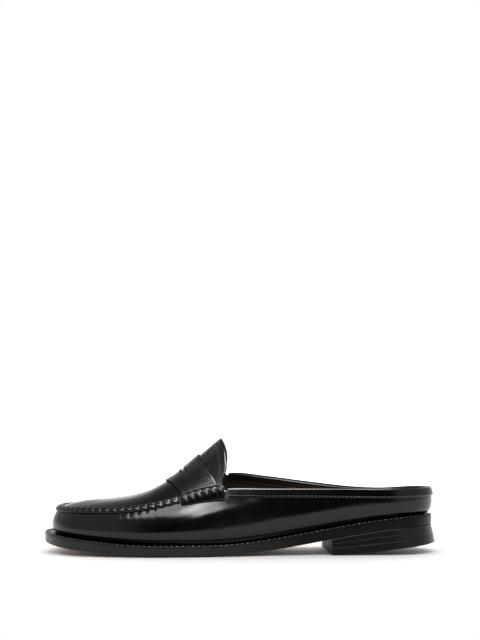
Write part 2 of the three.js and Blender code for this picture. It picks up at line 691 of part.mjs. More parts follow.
function heelLift(index) {
  const stackDepth = (n) => HEEL_TOP_DEPTH * (1 - n / HEEL_LIFTS);
  const stackZ = (x, n) => mix(topPieceTop(x), soleBottom(x), n / HEEL_LIFTS);
  const low = (x) => stackZ(x, index) + (index === 0 ? GAP : GAP / 2);
  const high = (x) => stackZ(x, index + 1) - (index === HEEL_LIFTS - 1 ? GAP : GAP / 2);
  return plate(heelPairs(), [heelLevel(stackDepth(index), low), heelLevel(stackDepth(index + 1), high)]);
}

// Materials and the assembly
const material = (color, roughness) => new THREE.MeshStandardMaterial({ color, roughness, metalness: 0 });
const leather = () => material(0x131312, 0.22);
const edgeDressing = () => material(0x1a1715, 0.38);
const stackedLeather = () => material(0x241a15, 0.42);
const lining = () => material(0x9a6f4c, 0.6);

const group = new THREE.Group();
function add(name, geometry, look) {
  const mesh = new THREE.Mesh(geometry, look);
  mesh.name = name;
  group.add(mesh);
}

add('upper', upper(), leather());
add('saddle_strap', saddleStrap(), leather());
for (const side of ['lateral', 'medial']) add(`roll_${side}`, roll(side), leather());
add('moc_seam', mocSeam(), leather());
add('collar_band', collarBand(), leather());
add('insole', insole(), lining());
add('welt', welt(), edgeDressing());
add('outsole', outsole(), edgeDressing());
for (let n = 0; n < HEEL_LIFTS; n++) add(`heel_lift_${n + 1}`, heelLift(n), stackedLeather());
add('heel_top_piece', topPiece(), stackedLeather());

export default group;
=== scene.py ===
"""The looks of a black penny loafer mule, left foot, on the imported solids' frame.

Lengths in this file are millimetres until a mesh is made, which is in metres. The toe points along -X,
the lateral side is -Y and the floor is Z = 0, as in the solids.
"""
import math

import bmesh
import bpy
import numpy as np
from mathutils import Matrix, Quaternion, Vector, noise


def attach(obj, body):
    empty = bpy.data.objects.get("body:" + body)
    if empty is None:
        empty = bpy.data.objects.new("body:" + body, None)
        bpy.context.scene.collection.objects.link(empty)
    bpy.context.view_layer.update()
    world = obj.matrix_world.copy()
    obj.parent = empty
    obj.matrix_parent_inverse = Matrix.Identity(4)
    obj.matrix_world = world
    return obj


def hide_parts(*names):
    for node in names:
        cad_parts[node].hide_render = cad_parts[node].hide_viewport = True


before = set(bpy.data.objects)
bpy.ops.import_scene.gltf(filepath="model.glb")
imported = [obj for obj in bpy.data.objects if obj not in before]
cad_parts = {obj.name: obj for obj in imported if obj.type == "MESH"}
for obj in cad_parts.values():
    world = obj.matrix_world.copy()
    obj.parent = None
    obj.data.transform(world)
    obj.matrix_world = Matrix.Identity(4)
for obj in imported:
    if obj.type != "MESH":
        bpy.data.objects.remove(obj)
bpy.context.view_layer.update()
MM = 0.001

# Overall sizes, as in the solids
SOLE_LENGTH = 265.8
BALL_WIDTH = 94
HEEL_RAKE = 2.2
COLLAR_HEIGHT = 42.8
INSTEP_HEIGHT = 77

# Sole and heel
OUTSOLE_THICKNESS = 3.9
WELT_THICKNESS = 2.8
WELT_REACH = 1.5
OUTSOLE_STEP = 0.3
TOE_SPRING = 6.8
HEEL_SEAT_RISE = 18.4
TREAD_FRONT = 76
TREAD_LENGTH = 36
SPRING_POWER = 1.5
BREAST_AT = 195.2
BREAST_SKEW = 3
HEEL_FLAT = 6
HEEL_LIFT = 6.8
TOP_PIECE_THICKNESS = 5
HEEL_LIFTS = 2
HEEL_SIDE_FLARE = 0.8
HEEL_ROUND_FROM = 0.85
HEEL_TOP_DEPTH = 0.62

# Upper
WALL_THICKNESS = 2
WELT_MARGIN = 5
SEAM_INSET = 12
FOOT_TUCK = 1.9
FOOT_TUCK_SHARE = 0.2
BELLY_LEVEL = 0.45
THROAT_AT = 124.5
TIP_AT = 120.4
PLUG_CENTRE_AT = 30
THROAT_BOW = 1.6
THROAT_NOTCH = 2.4
NOTCH_RISE = 0.09
CREST_SKEW = 1.5

# Pieces on the upper
GAP = 0.3
STRAP_THICKNESS = 1.0
STRAP_BEVEL = 0.22
STRAP_FRONT_AT = 83
STRAP_FRONT_SWEEP = 12
STRAP_FRONT_POWER = 1.6
STRAP_BACK_AT = 105.6
STRAP_BACK_SWEEP = 12.8
STRAP_BACK_POWER = 2
SLOT_AT = 95.6
SLOT_LENGTH = 28
SLOT_WIDTH = 3.6
SLOT_SWEEP = 0.6
SLOT_FLARE = 0.9
ROLL_FRONT_AT = 94.5
ROLL_BACK_AT = 123.5
ROLL_FRONT_WIDTH = 7
ROLL_BACK_WIDTH = 9.4
ROLL_FRONT_DROP = 1
ROLL_BACK_DROP = 2.4
ROLL_FRONT_HEIGHT = 2.4
ROLL_BACK_HEIGHT = 4
SEAM_WIDTH = 4.4
SEAM_HEIGHT = 1.7
BAND_THICKNESS = 0.9
BAND_OUTSIDE = 5.2
BAND_INSIDE = 5.5
BAND_FROM_THROAT = 1.2
INSOLE_THICKNESS = 2.2
INSOLE_CLEARANCE = 0.5
INSOLE_CHAMFER = 0.6
INSOLE_FLARE = 0.8

# Sewing
SEAM_PITCH = 5.5
PUCKER_DEPTH = 0.55
PUCKER_REACH = 7.5
ROLL_WRAPS = 6
FINE_PITCH = 2.6
WELT_PITCH = 3.6
WELT_STITCH_INSET = 1.7

STRAP_STITCH_INSETS = (1.2, 3.2)
TONGUE_STITCH_INSET = 4.6
BAND_STITCH_INSET = 1.1

# The slow unevenness of the upper's leather
UNEVEN_SEED = 1
UNEVEN_LENGTH = 14
UNEVEN_HEIGHT = 0.1

# Rounding of the outsole's lower edge as (inset, rise), and the gap above and below each lift
OUTSOLE_ROUNDING = ((1.2, 0.0), (0.55, 0.22), (0.15, 0.6), (0.0, 1.1))
LIFT_GAP = 0.03

# The sole's edge: share of the length, then y over the ball width on each side
EDGE_NAMES = ("at", "lateral", "medial")
EDGE = [dict(zip(EDGE_NAMES, row)) for row in (
    (0.008, -0.143, 0.2),
    (0.035, -0.282, 0.322),
    (0.068, -0.367, 0.393),
    (0.106, -0.418, 0.436),
    (0.17, -0.463, 0.478),
    (0.245, -0.494, 0.5),
    (0.315, -0.5, 0.489),
    (0.385, -0.484, 0.451),
    (0.46, -0.449, 0.383),
    (0.545, -0.402, 0.316),
    (0.63, -0.361, 0.279),
    (0.715, -0.338, 0.274),
    (0.79, -0.328, 0.292),
    (0.857, -0.324, 0.305),
    (0.91, -0.306, 0.296),
    (0.952, -0.257, 0.252),
    (0.98, -0.172, 0.171),
    (0.996, -0.072, 0.072),
)]
TOE_TIP_SHARE = 0.032

# The upper's sections: share of the length, then insets of foot, belly and seam, and heights, on each side
SECTION_NAMES = (
    "at", "foot", "lateral_belly", "medial_belly", "lateral_seam", "medial_seam", "lateral", "medial",
)
SECTIONS = [dict(zip(SECTION_NAMES, row)) for row in (
    (0, 1.15, 0.97, 0.97, 0.77, 0.77, 0.685, 0.685),
    (0.05, 1.15, 0.93, 0.93, 0.85, 0.85, 0.685, 0.69),
    (0.12, 1.15, 0.82, 0.82, 0.89, 0.89, 0.687, 0.722),
    (0.2, 1.1, 0.68, 0.66, 0.9, 0.9, 0.7, 0.738),
    (0.27, 1.04, 0.65, 0.54, 0.9, 0.9, 0.744, 0.782),
    (0.35, 0.94, 0.66, 0.32, 0.93, 0.84, 0.848, 0.908),
    (0.42, 0.84, 0.62, 0.1, 0.94, 0.52, 0.95, 1.06),
    (0.475, 0.85, 0.6, -0.12, 0.84, 0.24, 1, 1.18),
    (0.58, 0.84, 0.44, -0.3, 0.54, 0.05, 0.998, 1.13),
    (0.7, 0.84, 0.3, -0.15, 0.33, 0.1, 0.995, 1.035),
    (0.8, 0.86, 0.4, 0.2, 0.23, 0.18, 0.99, 0.965),
    (0.88, 0.82, 0.36, 0.36, 0.2, 0.2, 0.985, 0.944),
    (0.95, 0.64, 0.2, 0.2, 0.15, 0.15, 0.99, 0.972),
    (1, 0.4, -0.1, -0.1, 0.07, 0.07, 1, 1),
)]

CREST = [dict(at=at, height=height) for at, height in (
    (0.03, 0.384), (0.12, 0.447), (0.18, 0.464), (0.231, 0.494), (0.275, 0.546), (0.311, 0.613),
    (0.346, 0.69), (0.366, 0.746), (0.397, 0.838), (0.43, 0.932), (0.454, 1),
)]

# The studio: brightness by angle in degrees, from the horizon in front over the top to the one behind
ARCH = (
    (0, 0.03), (30, 0.04), (60, 0.12), (75, 0.5), (85, 0.55), (95, 0.38), (110, 0.2),
    (125, 0.17), (140, 0.24), (150, 0.3), (158, 0.5), (166, 0.72), (175, 1), (180, 1),
)
LEFT_WALL = 0.56
RIGHT_WALL = 0.6

# Each lamp: share of the way to the side, angle as above, tilt in degrees,
# then length, width and distance in metres, and radiance
LAMP_NAMES = ("name", "side", "angle", "tilt", "length", "width", "distance", "radiance")
LAMPS = [dict(zip(LAMP_NAMES, row)) for row in (
    ("softbox", 0.1, 42, 24, 0.045, 0.115, 0.23, 13),
    ("spill", -0.16, 56.5, -33, 0.165, 0.08, 0.23, 6),
    ("overhead", 0.22, 78, 0, 0.32, 0.24, 0.6, 26),
)]
LAMP_TARGET = (-0.03, -0.04, 0.04)

# Room light, backdrop and floor, in metres, watts and degrees
SUN_ENERGY = 2.7
SUN_SPREAD = 110
SUN_TURN = (-12, -8)
BACKDROP_SIZE = (3.0, 0.36)
BACKDROP_PLACE = (0.1, 1.2, 0.2)
BACKDROP_ENERGY = 36
FLOOR_REACH = 4.0
FLOOR_FRONT = -0.25

# The camera, in metres and in the photo's pixels
CAMERA_DISTANCE = 0.9
CAMERA_HEIGHT = 0.095
PIXEL_SIZE = 0.0006956
IMAGE_HEIGHT = 640
HORIZON_ROW = 412

SIDES = ("lateral", "medial")
MIRROR = {"lateral": 1, "medial": -1}
OTHER = {"lateral": "medial", "medial": "lateral"}


# Numbers
def lerp(a, b, t):
    return a + (b - a) * t


def smooth(t):
    t = np.clip(t, 0, 1)
    return t * t * (3 - 2 * t)


def unit(v):
    return v / np.maximum(np.linalg.norm(v, axis=-1, keepdims=True), 1e-12)


def blur(values, sigma, circular=False):
    """Gaussian blur along the first axis, sigma in samples."""
    reach = int(4 * sigma)
    kernel = np.exp(-0.5 * (np.arange(-reach, reach + 1) / sigma) ** 2)
    kernel /= kernel.sum()
    if circular:
        padded = np.concatenate([values[-reach:], values, values[:reach]])
    else:
        low = 2 * values[0] - values[reach:0:-1]
        high = 2 * values[-1] - values[-2:-reach - 2:-1]
        padded = np.concatenate([low, values, high])
    if values.ndim == 1:
        return np.convolve(padded, kernel, "valid")
    return np.stack([np.convolve(padded[:, k], kernel, "valid") for k in range(values.shape[1])], axis=1)


def column(rows, name, soften=9):
    """A smooth curve through one column of a table."""
    at = np.array([row["at"] for row in rows], float)
    value = np.array([row[name] for row in rows], float)
    secant = np.diff(value) / np.diff(at)
    slope = np.concatenate([secant[:1], (secant[1:] + secant[:-1]) / 2, secant[-1:]])
    x = np.linspace(at[0], at[-1], 801)
    i = np.clip(np.searchsorted(at, x, side="right") - 1, 0, len(at) - 2)
    span = at[i + 1] - at[i]
    t = (x - at[i]) / span
    y = ((1 + 2 * t) * (1 - t) ** 2 * value[i] + t * (1 - t) ** 2 * span * slope[i]
         + t * t * (3 - 2 * t) * value[i + 1] - t * t * (1 - t) * span * slope[i + 1])
    y = blur(y, soften)
    return lambda where: np.interp(where, x, y)


def bisect(f, target, low, high):
    """x where a monotonic f reaches target, for arrays as well."""
    low = np.broadcast_to(np.asarray(low, float), np.shape(target)).copy()
    high = np.broadcast_to(np.asarray(high, float), np.shape(target)).copy()
    rising = f(high) > f(low)
    for _ in range(32):
        middle = (low + high) / 2
        under = (f(middle) < target) == rising
        low = np.where(under, middle, low)
        high = np.where(under, high, middle)
    return (low + high) / 2


TOE_X = -(SOLE_LENGTH + HEEL_RAKE) / 2


def station_x(distance):
    return TOE_X + distance


def share_of(x):
    return np.clip((x - TOE_X) / SOLE_LENGTH, 0, 1)


# The sole's own surfaces
TREAD_FRONT_X = station_x(TREAD_FRONT)
WAIST_X = TREAD_FRONT_X + TREAD_LENGTH
WELT_BACK_X = station_x(SOLE_LENGTH)


def sole_bottom(x):
    front = np.maximum(TREAD_FRONT_X - x, 0) / (TREAD_FRONT_X - TOE_X)
    back = smooth((x - WAIST_X) / (WELT_BACK_X - WAIST_X))
    return TOE_SPRING * front ** SPRING_POWER + HEEL_SEAT_RISE * back


def outsole_top(x):
    return sole_bottom(x) + OUTSOLE_THICKNESS


def welt_top(x):
    return outsole_top(x) + GAP + WELT_THICKNESS


def catmull_rom(points, per_span):
    """Dense samples of the closed centripetal curve through the points."""
    count = len(points)
    out = []
    for i in range(count):
        p0, p1, p2, p3 = (points[(i + k) % count] for k in (-1, 0, 1, 2))
        d0, d1, d2 = (max(np.linalg.norm(b - a) ** 0.5, 1e-6) for a, b in ((p0, p1), (p1, p2), (p2, p3)))
        m1 = ((p1 - p0) / d0 - (p2 - p0) / (d0 + d1) + (p2 - p1) / d1) * d1
        m2 = ((p2 - p1) / d1 - (p3 - p1) / (d1 + d2) + (p3 - p2) / d2) * d1
        t = np.linspace(0, 1, per_span, endpoint=False)[:, None]
        square = (-3 * p1 + 3 * p2 - 2 * m1 - m2) * t ** 2
        cube = (2 * p1 - 2 * p2 + m1 + m2) * t ** 3
        out.append(p1 + m1 * t + square + cube)
    return np.concatenate(out)


def edge_runs():
    """The sole's edge from toe tip to heel: {side: (share, x, y, length)}."""
    def row(r, side):
        return np.array([station_x(r["at"] * SOLE_LENGTH), r[side] * BALL_WIDTH])
    lateral = [row(r, "lateral") for r in EDGE]
    medial = [row(r, "medial") for r in EDGE][::-1]
    toe = np.array([TOE_X, TOE_TIP_SHARE * BALL_WIDTH])
    heel = np.array([WELT_BACK_X, 0.0])
    loop = catmull_rom([toe, *lateral, heel, *medial], 120)
    step = np.linalg.norm(np.roll(loop, -1, 0) - loop, axis=1)
    along = np.concatenate([[0], np.cumsum(step)])
    closed = np.vstack([loop, loop[:1]])
    even = np.linspace(0, along[-1], 2600, endpoint=False)
    loop = np.stack([np.interp(even, along, closed[:, k]) for k in range(2)], axis=1)
    loop = blur(loop, 12, circular=True)
    loop[:, 1] -= (loop[:, 1].min() + loop[:, 1].max()) / 2
    grow = BALL_WIDTH / np.ptp(loop[:, 1])
    loop[:, 1] *= grow
    low, high = loop[:, 0].min(), loop[:, 0].max()
    loop[:, 0] = TOE_X + (loop[:, 0] - low) * SOLE_LENGTH / (high - low)
    toe_at, heel_at = np.argmin(loop[:, 0]), np.argmax(loop[:, 0])
    loop = np.roll(loop, -toe_at, 0)
    heel_at = (heel_at - toe_at) % len(loop)
    runs = {"lateral": loop[:heel_at + 1], "medial": np.vstack([loop[heel_at:], loop[:1]])[::-1]}
    if runs["lateral"][len(runs["lateral"]) // 2, 1] > 0:
        runs = {"lateral": runs["medial"], "medial": runs["lateral"]}
    out = {}
    for side, run in runs.items():
        length = np.concatenate([[0], np.cumsum(np.linalg.norm(np.diff(run, axis=0), axis=1))])
        out[side] = (length / length[-1], run[:, 0], run[:, 1], length[-1])
    return out


RUNS = edge_runs()


def edge_point(side, share):
    share = np.asarray(share, float)
    folded = np.where(share < 0, -share, np.where(share > 1, 2 - share, share))
    over = (share < 0) | (share > 1)
    own, other = RUNS[side], RUNS[OTHER[side]]
    x = np.where(over, np.interp(folded, other[0], other[1]), np.interp(folded, own[0], own[1]))
    y = np.where(over, np.interp(folded, other[0], other[2]), np.interp(folded, own[0], own[2]))
    return np.stack([x, y, np.zeros_like(x)], axis=-1)


def inward(side, share):
    step = 0.006
    along = unit(edge_point(side, share + step) - edge_point(side, share - step))
    return np.stack([-along[..., 1], along[..., 0], np.zeros_like(along[..., 0])], axis=-1) * MIRROR[side]


def inside(side, share, inset, z):
    """A point inside the edge, at z(x). The inset is a number or a function of the share of the length."""
    edge = edge_point(side, share)
    depth = inset(share_of(edge[..., 0])) if callable(inset) else np.asarray(inset, float)
    p = edge + inward(side, share) * depth[..., None]
    p[..., 2] = z(p[..., 0])
    return p


# The upper's outer surface
SECTION = {name: column(SECTIONS, name) for name in SECTION_NAMES[1:]}
crest_height = column(CREST, "height")


def crest_slope(at):
    step = 0.01
    return (crest_height(at + step) - crest_height(at - step)) * INSTEP_HEIGHT / (2 * step * SOLE_LENGTH)


def wall(side, share, level):
    share, level = np.broadcast_arrays(np.asarray(share, float), np.asarray(level, float))
    edge = edge_point(side, share)
    at = share_of(edge[..., 0])
    foot = SECTION["foot"](at) * WELT_MARGIN
    belly = SECTION[f"{side}_belly"](at) * WELT_MARGIN
    seam = SECTION[f"{side}_seam"](at) * SEAM_INSET
    rest = 1 - BELLY_LEVEL
    pull = (belly - rest * rest * foot - BELLY_LEVEL ** 2 * seam) / (2 * BELLY_LEVEL * rest)
    tuck = FOOT_TUCK * np.maximum(0, 1 - level / FOOT_TUCK_SHARE) ** 2
    down = 1 - level
    inset = down * down * foot + 2 * level * down * pull + level * level * seam + tuck
    p = edge + inward(side, share) * inset[..., None]
    bottom = welt_top(p[..., 0]) + GAP
    p[..., 2] = lerp(bottom, SECTION[side](at) * COLLAR_HEIGHT, level)
    return p


def share_at_x(side, x, low=0.05, high=0.9):
    return bisect(lambda s: wall(side, s, 1.0)[..., 0], np.asarray(x, float), low, high)


CORNER = {side: float(share_at_x(side, station_x(THROAT_AT), 0.2, 0.7)) for side in SIDES}


def plug(side, station, rise):
    station, rise = np.broadcast_arrays(np.asarray(station, float), np.asarray(rise, float))
    seam = wall(side, station * CORNER[side], 1.0)
    other = wall(OTHER[side], station * CORNER[OTHER[side]], 1.0)
    crest = np.empty_like(seam)
    crest[..., 0] = lerp(station_x(PLUG_CENTRE_AT), station_x(TIP_AT), station ** 1.25)
    crest[..., 1] = (seam[..., 1] + other[..., 1]) / 2 + CREST_SKEW * smooth(station)
    at = share_of(crest[..., 0])
    crest[..., 2] = crest_height(at) * INSTEP_HEIGHT
    p = lerp(seam, crest, rise[..., None])
    power = lerp(2.2, 1.9, station)
    p[..., 2] = lerp(seam[..., 2], crest[..., 2], 1 - (1 - rise) ** power)
    p[..., 2] += crest_slope(at) * (crest[..., 0] - seam[..., 0]) * (rise - 1) * rise ** 2
    p[..., 0] += THROAT_BOW * np.sin(np.pi * rise ** 0.7) ** 2 * station ** 4
    notch = rise / NOTCH_RISE
    p[..., 0] -= THROAT_NOTCH * (notch * np.exp(1 - notch)) ** 3 * station ** 8
    return p


def run_length(point):
    steps = 16
    total = 0
    for n in range(steps):
        total = total + np.linalg.norm(point(n / steps) - point((n + 1) / steps), axis=-1)
    return total


def normal_of(point, a, b):
    step = 0.006
    du = point(np.minimum(a + step, 1), b) - point(np.maximum(a - step, 0), b)
    dv = point(a, np.minimum(b + step, 1)) - point(a, np.maximum(b - step, 0))
    return unit(np.cross(du, dv))


def wall_normal(side, share, level):
    def point(a, b):
        return wall(side, a, b)
    step = 0.006
    du = point(share + step, level) - point(share - step, level)
    dv = point(share, np.minimum(level + step, 1)) - point(share, np.maximum(level - step, 0))
    return unit(np.cross(du, dv)) * MIRROR[side]


def plug_normal(side, station, rise):
    return normal_of(lambda a, b: plug(side, a, b), station, rise) * MIRROR[side]


def over_surface(side, share, w, height):
    """A point w along the surface from the seam, up the plug if positive, and height off it."""
    share, w, height = (np.asarray(v, float) for v in np.broadcast_arrays(share, w, height))
    down = run_length(lambda level: wall(side, share, level))
    level = np.clip(1 + np.minimum(w, 0) / down, 0, 1)
    point = wall(side, share, level)
    normal = wall_normal(side, share, level)
    station = np.clip(share / CORNER[side], 0, 1)
    across = run_length(lambda rise: plug(side, station, rise))
    rise = np.clip(np.maximum(w, 0) / across, 0, 1)
    on_plug = (share <= CORNER[side] + 1e-9)
    plug_point = plug(side, station, rise)
    point = np.where(((w > 0) & on_plug)[..., None], plug_point, point)
    turn = smooth((w + SEAM_WIDTH / 2) / SEAM_WIDTH) * on_plug
    normal = unit(lerp(normal, plug_normal(side, station, rise), turn[..., None]))
    return point + normal * height[..., None]


# Meshes
PIECES = []


def new_object(name, points, faces, material, replaces=None, slot="upper_leather", smooth_angle=40,
               merge=True):
    mesh = bpy.data.meshes.new(name)
    mesh.from_pydata([tuple(p) for p in np.asarray(points) * MM], [], [tuple(f) for f in faces])
    bm = bmesh.new()
    bm.from_mesh(mesh)
    if merge:
        bmesh.ops.remove_doubles(bm, verts=bm.verts, dist=1e-6)
    bmesh.ops.recalc_face_normals(bm, faces=bm.faces)
    bm.to_mesh(mesh)
    bm.free()
    obj = bpy.data.objects.new(name, mesh)
    bpy.context.collection.objects.link(obj)
    for m in material if isinstance(material, (list, tuple)) else [material]:
        mesh.materials.append(m)
    mesh.polygons.foreach_set("use_smooth", [True] * len(mesh.polygons))
    mesh.set_sharp_from_angle(angle=math.radians(smooth_angle))
    if replaces:
        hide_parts(replaces)
    PIECES.append(obj)
    return obj


def grid_faces(rows, columns, close_rows=False, close_columns=False, start=0, skip=None):
    faces = []
    for i in range(rows if close_rows else rows - 1):
        for j in range(columns if close_columns else columns - 1):
            if skip is not None and skip(i, j):
                continue
            k, m = (i + 1) % rows, (j + 1) % columns
            corners = ((i, j), (k, j), (k, m), (i, m))
            faces.append(tuple(start + row * columns + place for row, place in corners))
    return faces


def loft_object(name, loops, material, close=False, **kind):
    """A solid through loops of points: loops is an array of stations by points, capped unless it closes."""
    stations, size = loops.shape[:2]
    faces = grid_faces(stations, size, close_rows=close, close_columns=True)
    if not close:
        last = (stations - 1) * size
        faces += [tuple(range(size)), tuple(last + j for j in reversed(range(size)))]
    return new_object(name, loops.reshape(-1, 3), faces, material, **kind)


def tubes(name, paths, radius, material, sides=7, **kind):
    """Round threads along several short paths in one mesh."""
    points, faces = [], []
    for path in paths:
        path = np.asarray(path, float)
        count = len(path)
        along = unit(np.gradient(path, axis=0))
        up = np.tile([0.0, 0.0, 1.0], (count, 1))
        up = np.where(np.abs(along[:, 2:]) > 0.9, np.tile([1.0, 0.0, 0.0], (count, 1)), up)
        across = unit(np.cross(along, up))
        up = np.cross(across, along)
        taper = np.sqrt(np.clip(1 - (np.linspace(-1, 1, count) ** 2) ** 4, 0.05, 1))
        angle = np.linspace(0, 2 * np.pi, sides, endpoint=False)
        ring = (across[:, None] * np.cos(angle)[None, :, None] + up[:, None] * np.sin(angle)[None, :, None])
        ring = path[:, None] + ring * (radius * taper)[:, None, None]
        start = len(points)
        points.extend(ring.reshape(-1, 3))
        faces.extend(grid_faces(count, sides, close_columns=True, start=start))
        faces.append(tuple(start + j for j in range(sides)))
        faces.append(tuple(start + (count - 1) * sides + j for j in reversed(range(sides))))
    return new_object(name, points, faces, material, merge=False, smooth_angle=70, **kind)


def resample(path, pitch, fill=0.62):
    """Cuts a long path into stitches, each of which covers that share of the pitch."""
    path = np.asarray(path, float)
    along = np.concatenate([[0], np.cumsum(np.linalg.norm(np.diff(path, axis=0), axis=1))])
    count = max(1, int(along[-1] // pitch))
    stitches = []
    for n in range(count):
        middle = (n + 0.5) * along[-1] / count
        where = middle + np.linspace(-0.5, 0.5, 5) * pitch * fill
        stitches.append(np.stack([np.interp(where, along, path[:, k]) for k in range(3)], axis=1))
    return stitches


# Materials
class Material:
    """A new material, with shorthands for the nodes that vary it over the object's own coordinates."""

    def __init__(self, name):
        self.data = bpy.data.materials.new(name)
        self.data.use_nodes = True
        self.shader = self.data.node_tree.nodes["Principled BSDF"]
        self.coordinate = self.node("TexCoord")

    def link(self, source, target):
        self.data.node_tree.links.new(source, target)

    def node(self, kind, **values):
        node = self.data.node_tree.nodes.new("ShaderNode" + kind)
        for name, value in values.items():
            node.inputs[name].default_value = value
        return node

    def placed(self, kind, **values):
        """A node that reads the object's own coordinates."""
        node = self.node(kind, **values)
        self.link(self.coordinate.outputs["Object"], node.inputs["Vector"])
        return node

    def noise(self, scale, detail, roughness=0.5):
        return self.placed("TexNoise", Scale=scale, Detail=detail, Roughness=roughness).outputs["Fac"]

    def ramp(self, source, low, high, target, start=0.3, end=0.7):
        """Feeds the shader's target: colour low where source is start, and high where it is end."""
        ramp = self.node("ValToRGB")
        for element, place, colour in zip(ramp.color_ramp.elements, (start, end), (low, high)):
            element.position = place
            element.color = (*colour, 1)
        self.link(source, ramp.inputs["Fac"])
        self.link(ramp.outputs["Color"], self.shader.inputs[target])

    def roughness(self, source, low, high):
        self.ramp(source, (low,) * 3, (high,) * 3, "Roughness")

    def bump(self, *reliefs):
        """Bumps from reliefs of height, strength and distance, each over the one before."""
        normal = None
        for height, strength, distance in reliefs:
            node = self.node("Bump", Strength=strength, Distance=distance)
            self.link(height, node.inputs["Height"])
            if normal:
                self.link(normal, node.inputs["Normal"])
            normal = node.outputs["Normal"]
        self.link(normal, self.shader.inputs["Normal"])


def polished_leather(name, dark, light, roughness=(0.1, 0.16), ior=1.42):
    """Smooth, waxed calf: faint pores and a slow unevenness."""
    leather = Material(name)
    leather.ramp(leather.noise(45, 4), dark, light, "Base Color")
    leather.roughness(leather.noise(120, 5), *roughness)
    pores = leather.placed("TexVoronoi", Scale=2200).outputs["Distance"]
    leather.bump((leather.noise(90, 2), 0.05, 0.002), (pores, 0.05, 0.0002))
    leather.shader.inputs["IOR"].default_value = ior
    return leather.data


def edge_leather(name, dark, light, roughness=(0.25, 0.4), relief=0.1, ior=1.4, dull_back=False):
    """The dressed edge of a leather sole: pressed layers under black wax, duller at the back if asked."""
    leather = Material(name)
    mapping = leather.placed("Mapping", Scale=(12, 12, 1400))
    layers = leather.node("TexNoise", Scale=1.0, Detail=4.0)
    leather.link(mapping.outputs["Vector"], layers.inputs["Vector"])
    leather.ramp(layers.outputs["Fac"], dark, light, "Base Color")
    leather.roughness(leather.noise(200, 4), *roughness)
    leather.shader.inputs["IOR"].default_value = ior
    if dull_back:
        split = leather.placed("SeparateXYZ")
        fade = {"From Min": 0.0, "From Max": 0.045, "To Min": 0.5, "To Max": 0.14}
        shine = leather.node("MapRange", **fade)
        leather.link(split.outputs["X"], shine.inputs["Value"])
        leather.link(shine.outputs["Result"], leather.shader.inputs["Specular IOR Level"])
    leather.bump((layers.outputs["Fac"], relief, 0.0002))
    return leather.data


def natural_leather(name, dark, light, roughness=(0.45, 0.65), grain=0.25, specular=0.5):
    """Leather without wax, mottled, with fine fibres: tan; dark for raw edges and for the painted shadow
    lines along the strap's edges; darkened with painted shade for the lining.
    """
    leather = Material(name)
    leather.ramp(leather.noise(30, 6, 0.6), dark, light, "Base Color")
    leather.roughness(leather.noise(150, 4), *roughness)
    leather.shader.inputs["Specular IOR Level"].default_value = specular
    leather.bump((leather.noise(900, 4), grain, 0.0003))
    return leather.data


def waxed_thread(name, dark, light):
    """Twisted waxed thread: fine diagonal plies."""
    thread = Material(name)
    plies = thread.placed("TexWave", Scale=700, Distortion=1.5)
    plies.bands_direction = "DIAGONAL"
    thread.ramp(plies.outputs["Fac"], dark, light, "Base Color", 0.2, 0.8)
    thread.shader.inputs["Roughness"].default_value = 0.35
    thread.bump((plies.outputs["Fac"], 0.5, 0.0001))
    return thread.data


BLACK = polished_leather("upper_leather", (0.0012, 0.0012, 0.0011), (0.0026, 0.0026, 0.0024))
STRAP_BLACK = polished_leather("strap_leather", (0.0014, 0.0014, 0.0013), (0.003, 0.003, 0.0028),
                               (0.16, 0.24))
EDGE_BLACK = edge_leather("edge_leather", (0.003, 0.0026, 0.0022), (0.007, 0.006, 0.005), dull_back=True)
STACKED = edge_leather("stacked_leather", (0.0034, 0.0026, 0.0021), (0.0055, 0.0042, 0.0034),
                       (0.27, 0.3), relief=0.02, ior=1.38)
BREAST = edge_leather("breast_leather", (0.004, 0.003, 0.0024), (0.008, 0.006, 0.005),
                      (0.5, 0.6), relief=0.05, ior=1.25)
ROLL_BLACK = polished_leather("roll_leather", (0.0008, 0.0008, 0.0008), (0.002, 0.002, 0.0018),
                              (0.16, 0.22), ior=1.34)
# Matte dark leather for the raw cut edges, also used for the painted shadow lines along the strap's edges.
RAW_EDGE_AND_PAINTED_SHADOW = natural_leather("raw_edge_and_painted_shadow", (0.0012, 0.0011, 0.001), (0.003, 0.0026, 0.0022),
                           (0.8, 0.9), grain=0.1, specular=0.12)
# Painted shade: the lining's own tan is darkened here to stand for the shade inside the shoe.
LINING_PAINTED_SHADE = natural_leather("lining_leather", (0.022, 0.017, 0.011), (0.04, 0.031, 0.022))
SOCK = natural_leather("sock_leather", (0.36, 0.2, 0.1), (0.5, 0.3, 0.16))
SOLE_TAN = natural_leather("sole_leather", (0.26, 0.17, 0.115), (0.34, 0.23, 0.16), (0.35, 0.55))
THREAD = waxed_thread("black_thread", (0.004, 0.004, 0.0038), (0.012, 0.012, 0.011))
FINE_THREAD = waxed_thread("fine_thread", (0.03, 0.03, 0.028), (0.09, 0.088, 0.082))
WELT_THREAD = waxed_thread("welt_thread", (0.05, 0.045, 0.04), (0.16, 0.15, 0.13))


# The upper's shell
def pucker(side, share, below):
    """How far the gathered wall stands out below the seam, between its stitches."""
    along = share * RUNS[side][3]
    fold = np.abs(np.sin(np.pi * along / SEAM_PITCH)) ** 0.8 - 0.5
    x = edge_point(side, share)[..., 0]
    toe_fade = 0.35 + 0.65 * smooth((x - station_x(18)) / 40)
    end_fade = 1 - smooth((x - station_x(ROLL_FRONT_AT - 2)) / 7)
    body = smooth(below / 1.6) * np.exp(-(below / PUCKER_REACH * 1.6) ** 2)
    return PUCKER_DEPTH * fold * body * toe_fade * end_fade


def wall_sheet(side, shares, levels):
    share = np.repeat(shares[:, None], len(levels), axis=1)
    level = np.repeat(levels[None, :], len(shares), axis=0)
    p = wall(side, share, level)
    steps = np.linalg.norm(np.diff(p[:, ::-1], axis=1), axis=-1)
    below = np.pad(np.cumsum(steps, axis=1), ((0, 0), (1, 0)))[:, ::-1]
    return p + wall_normal(side, share, level) * pucker(side, share, below)[..., None]


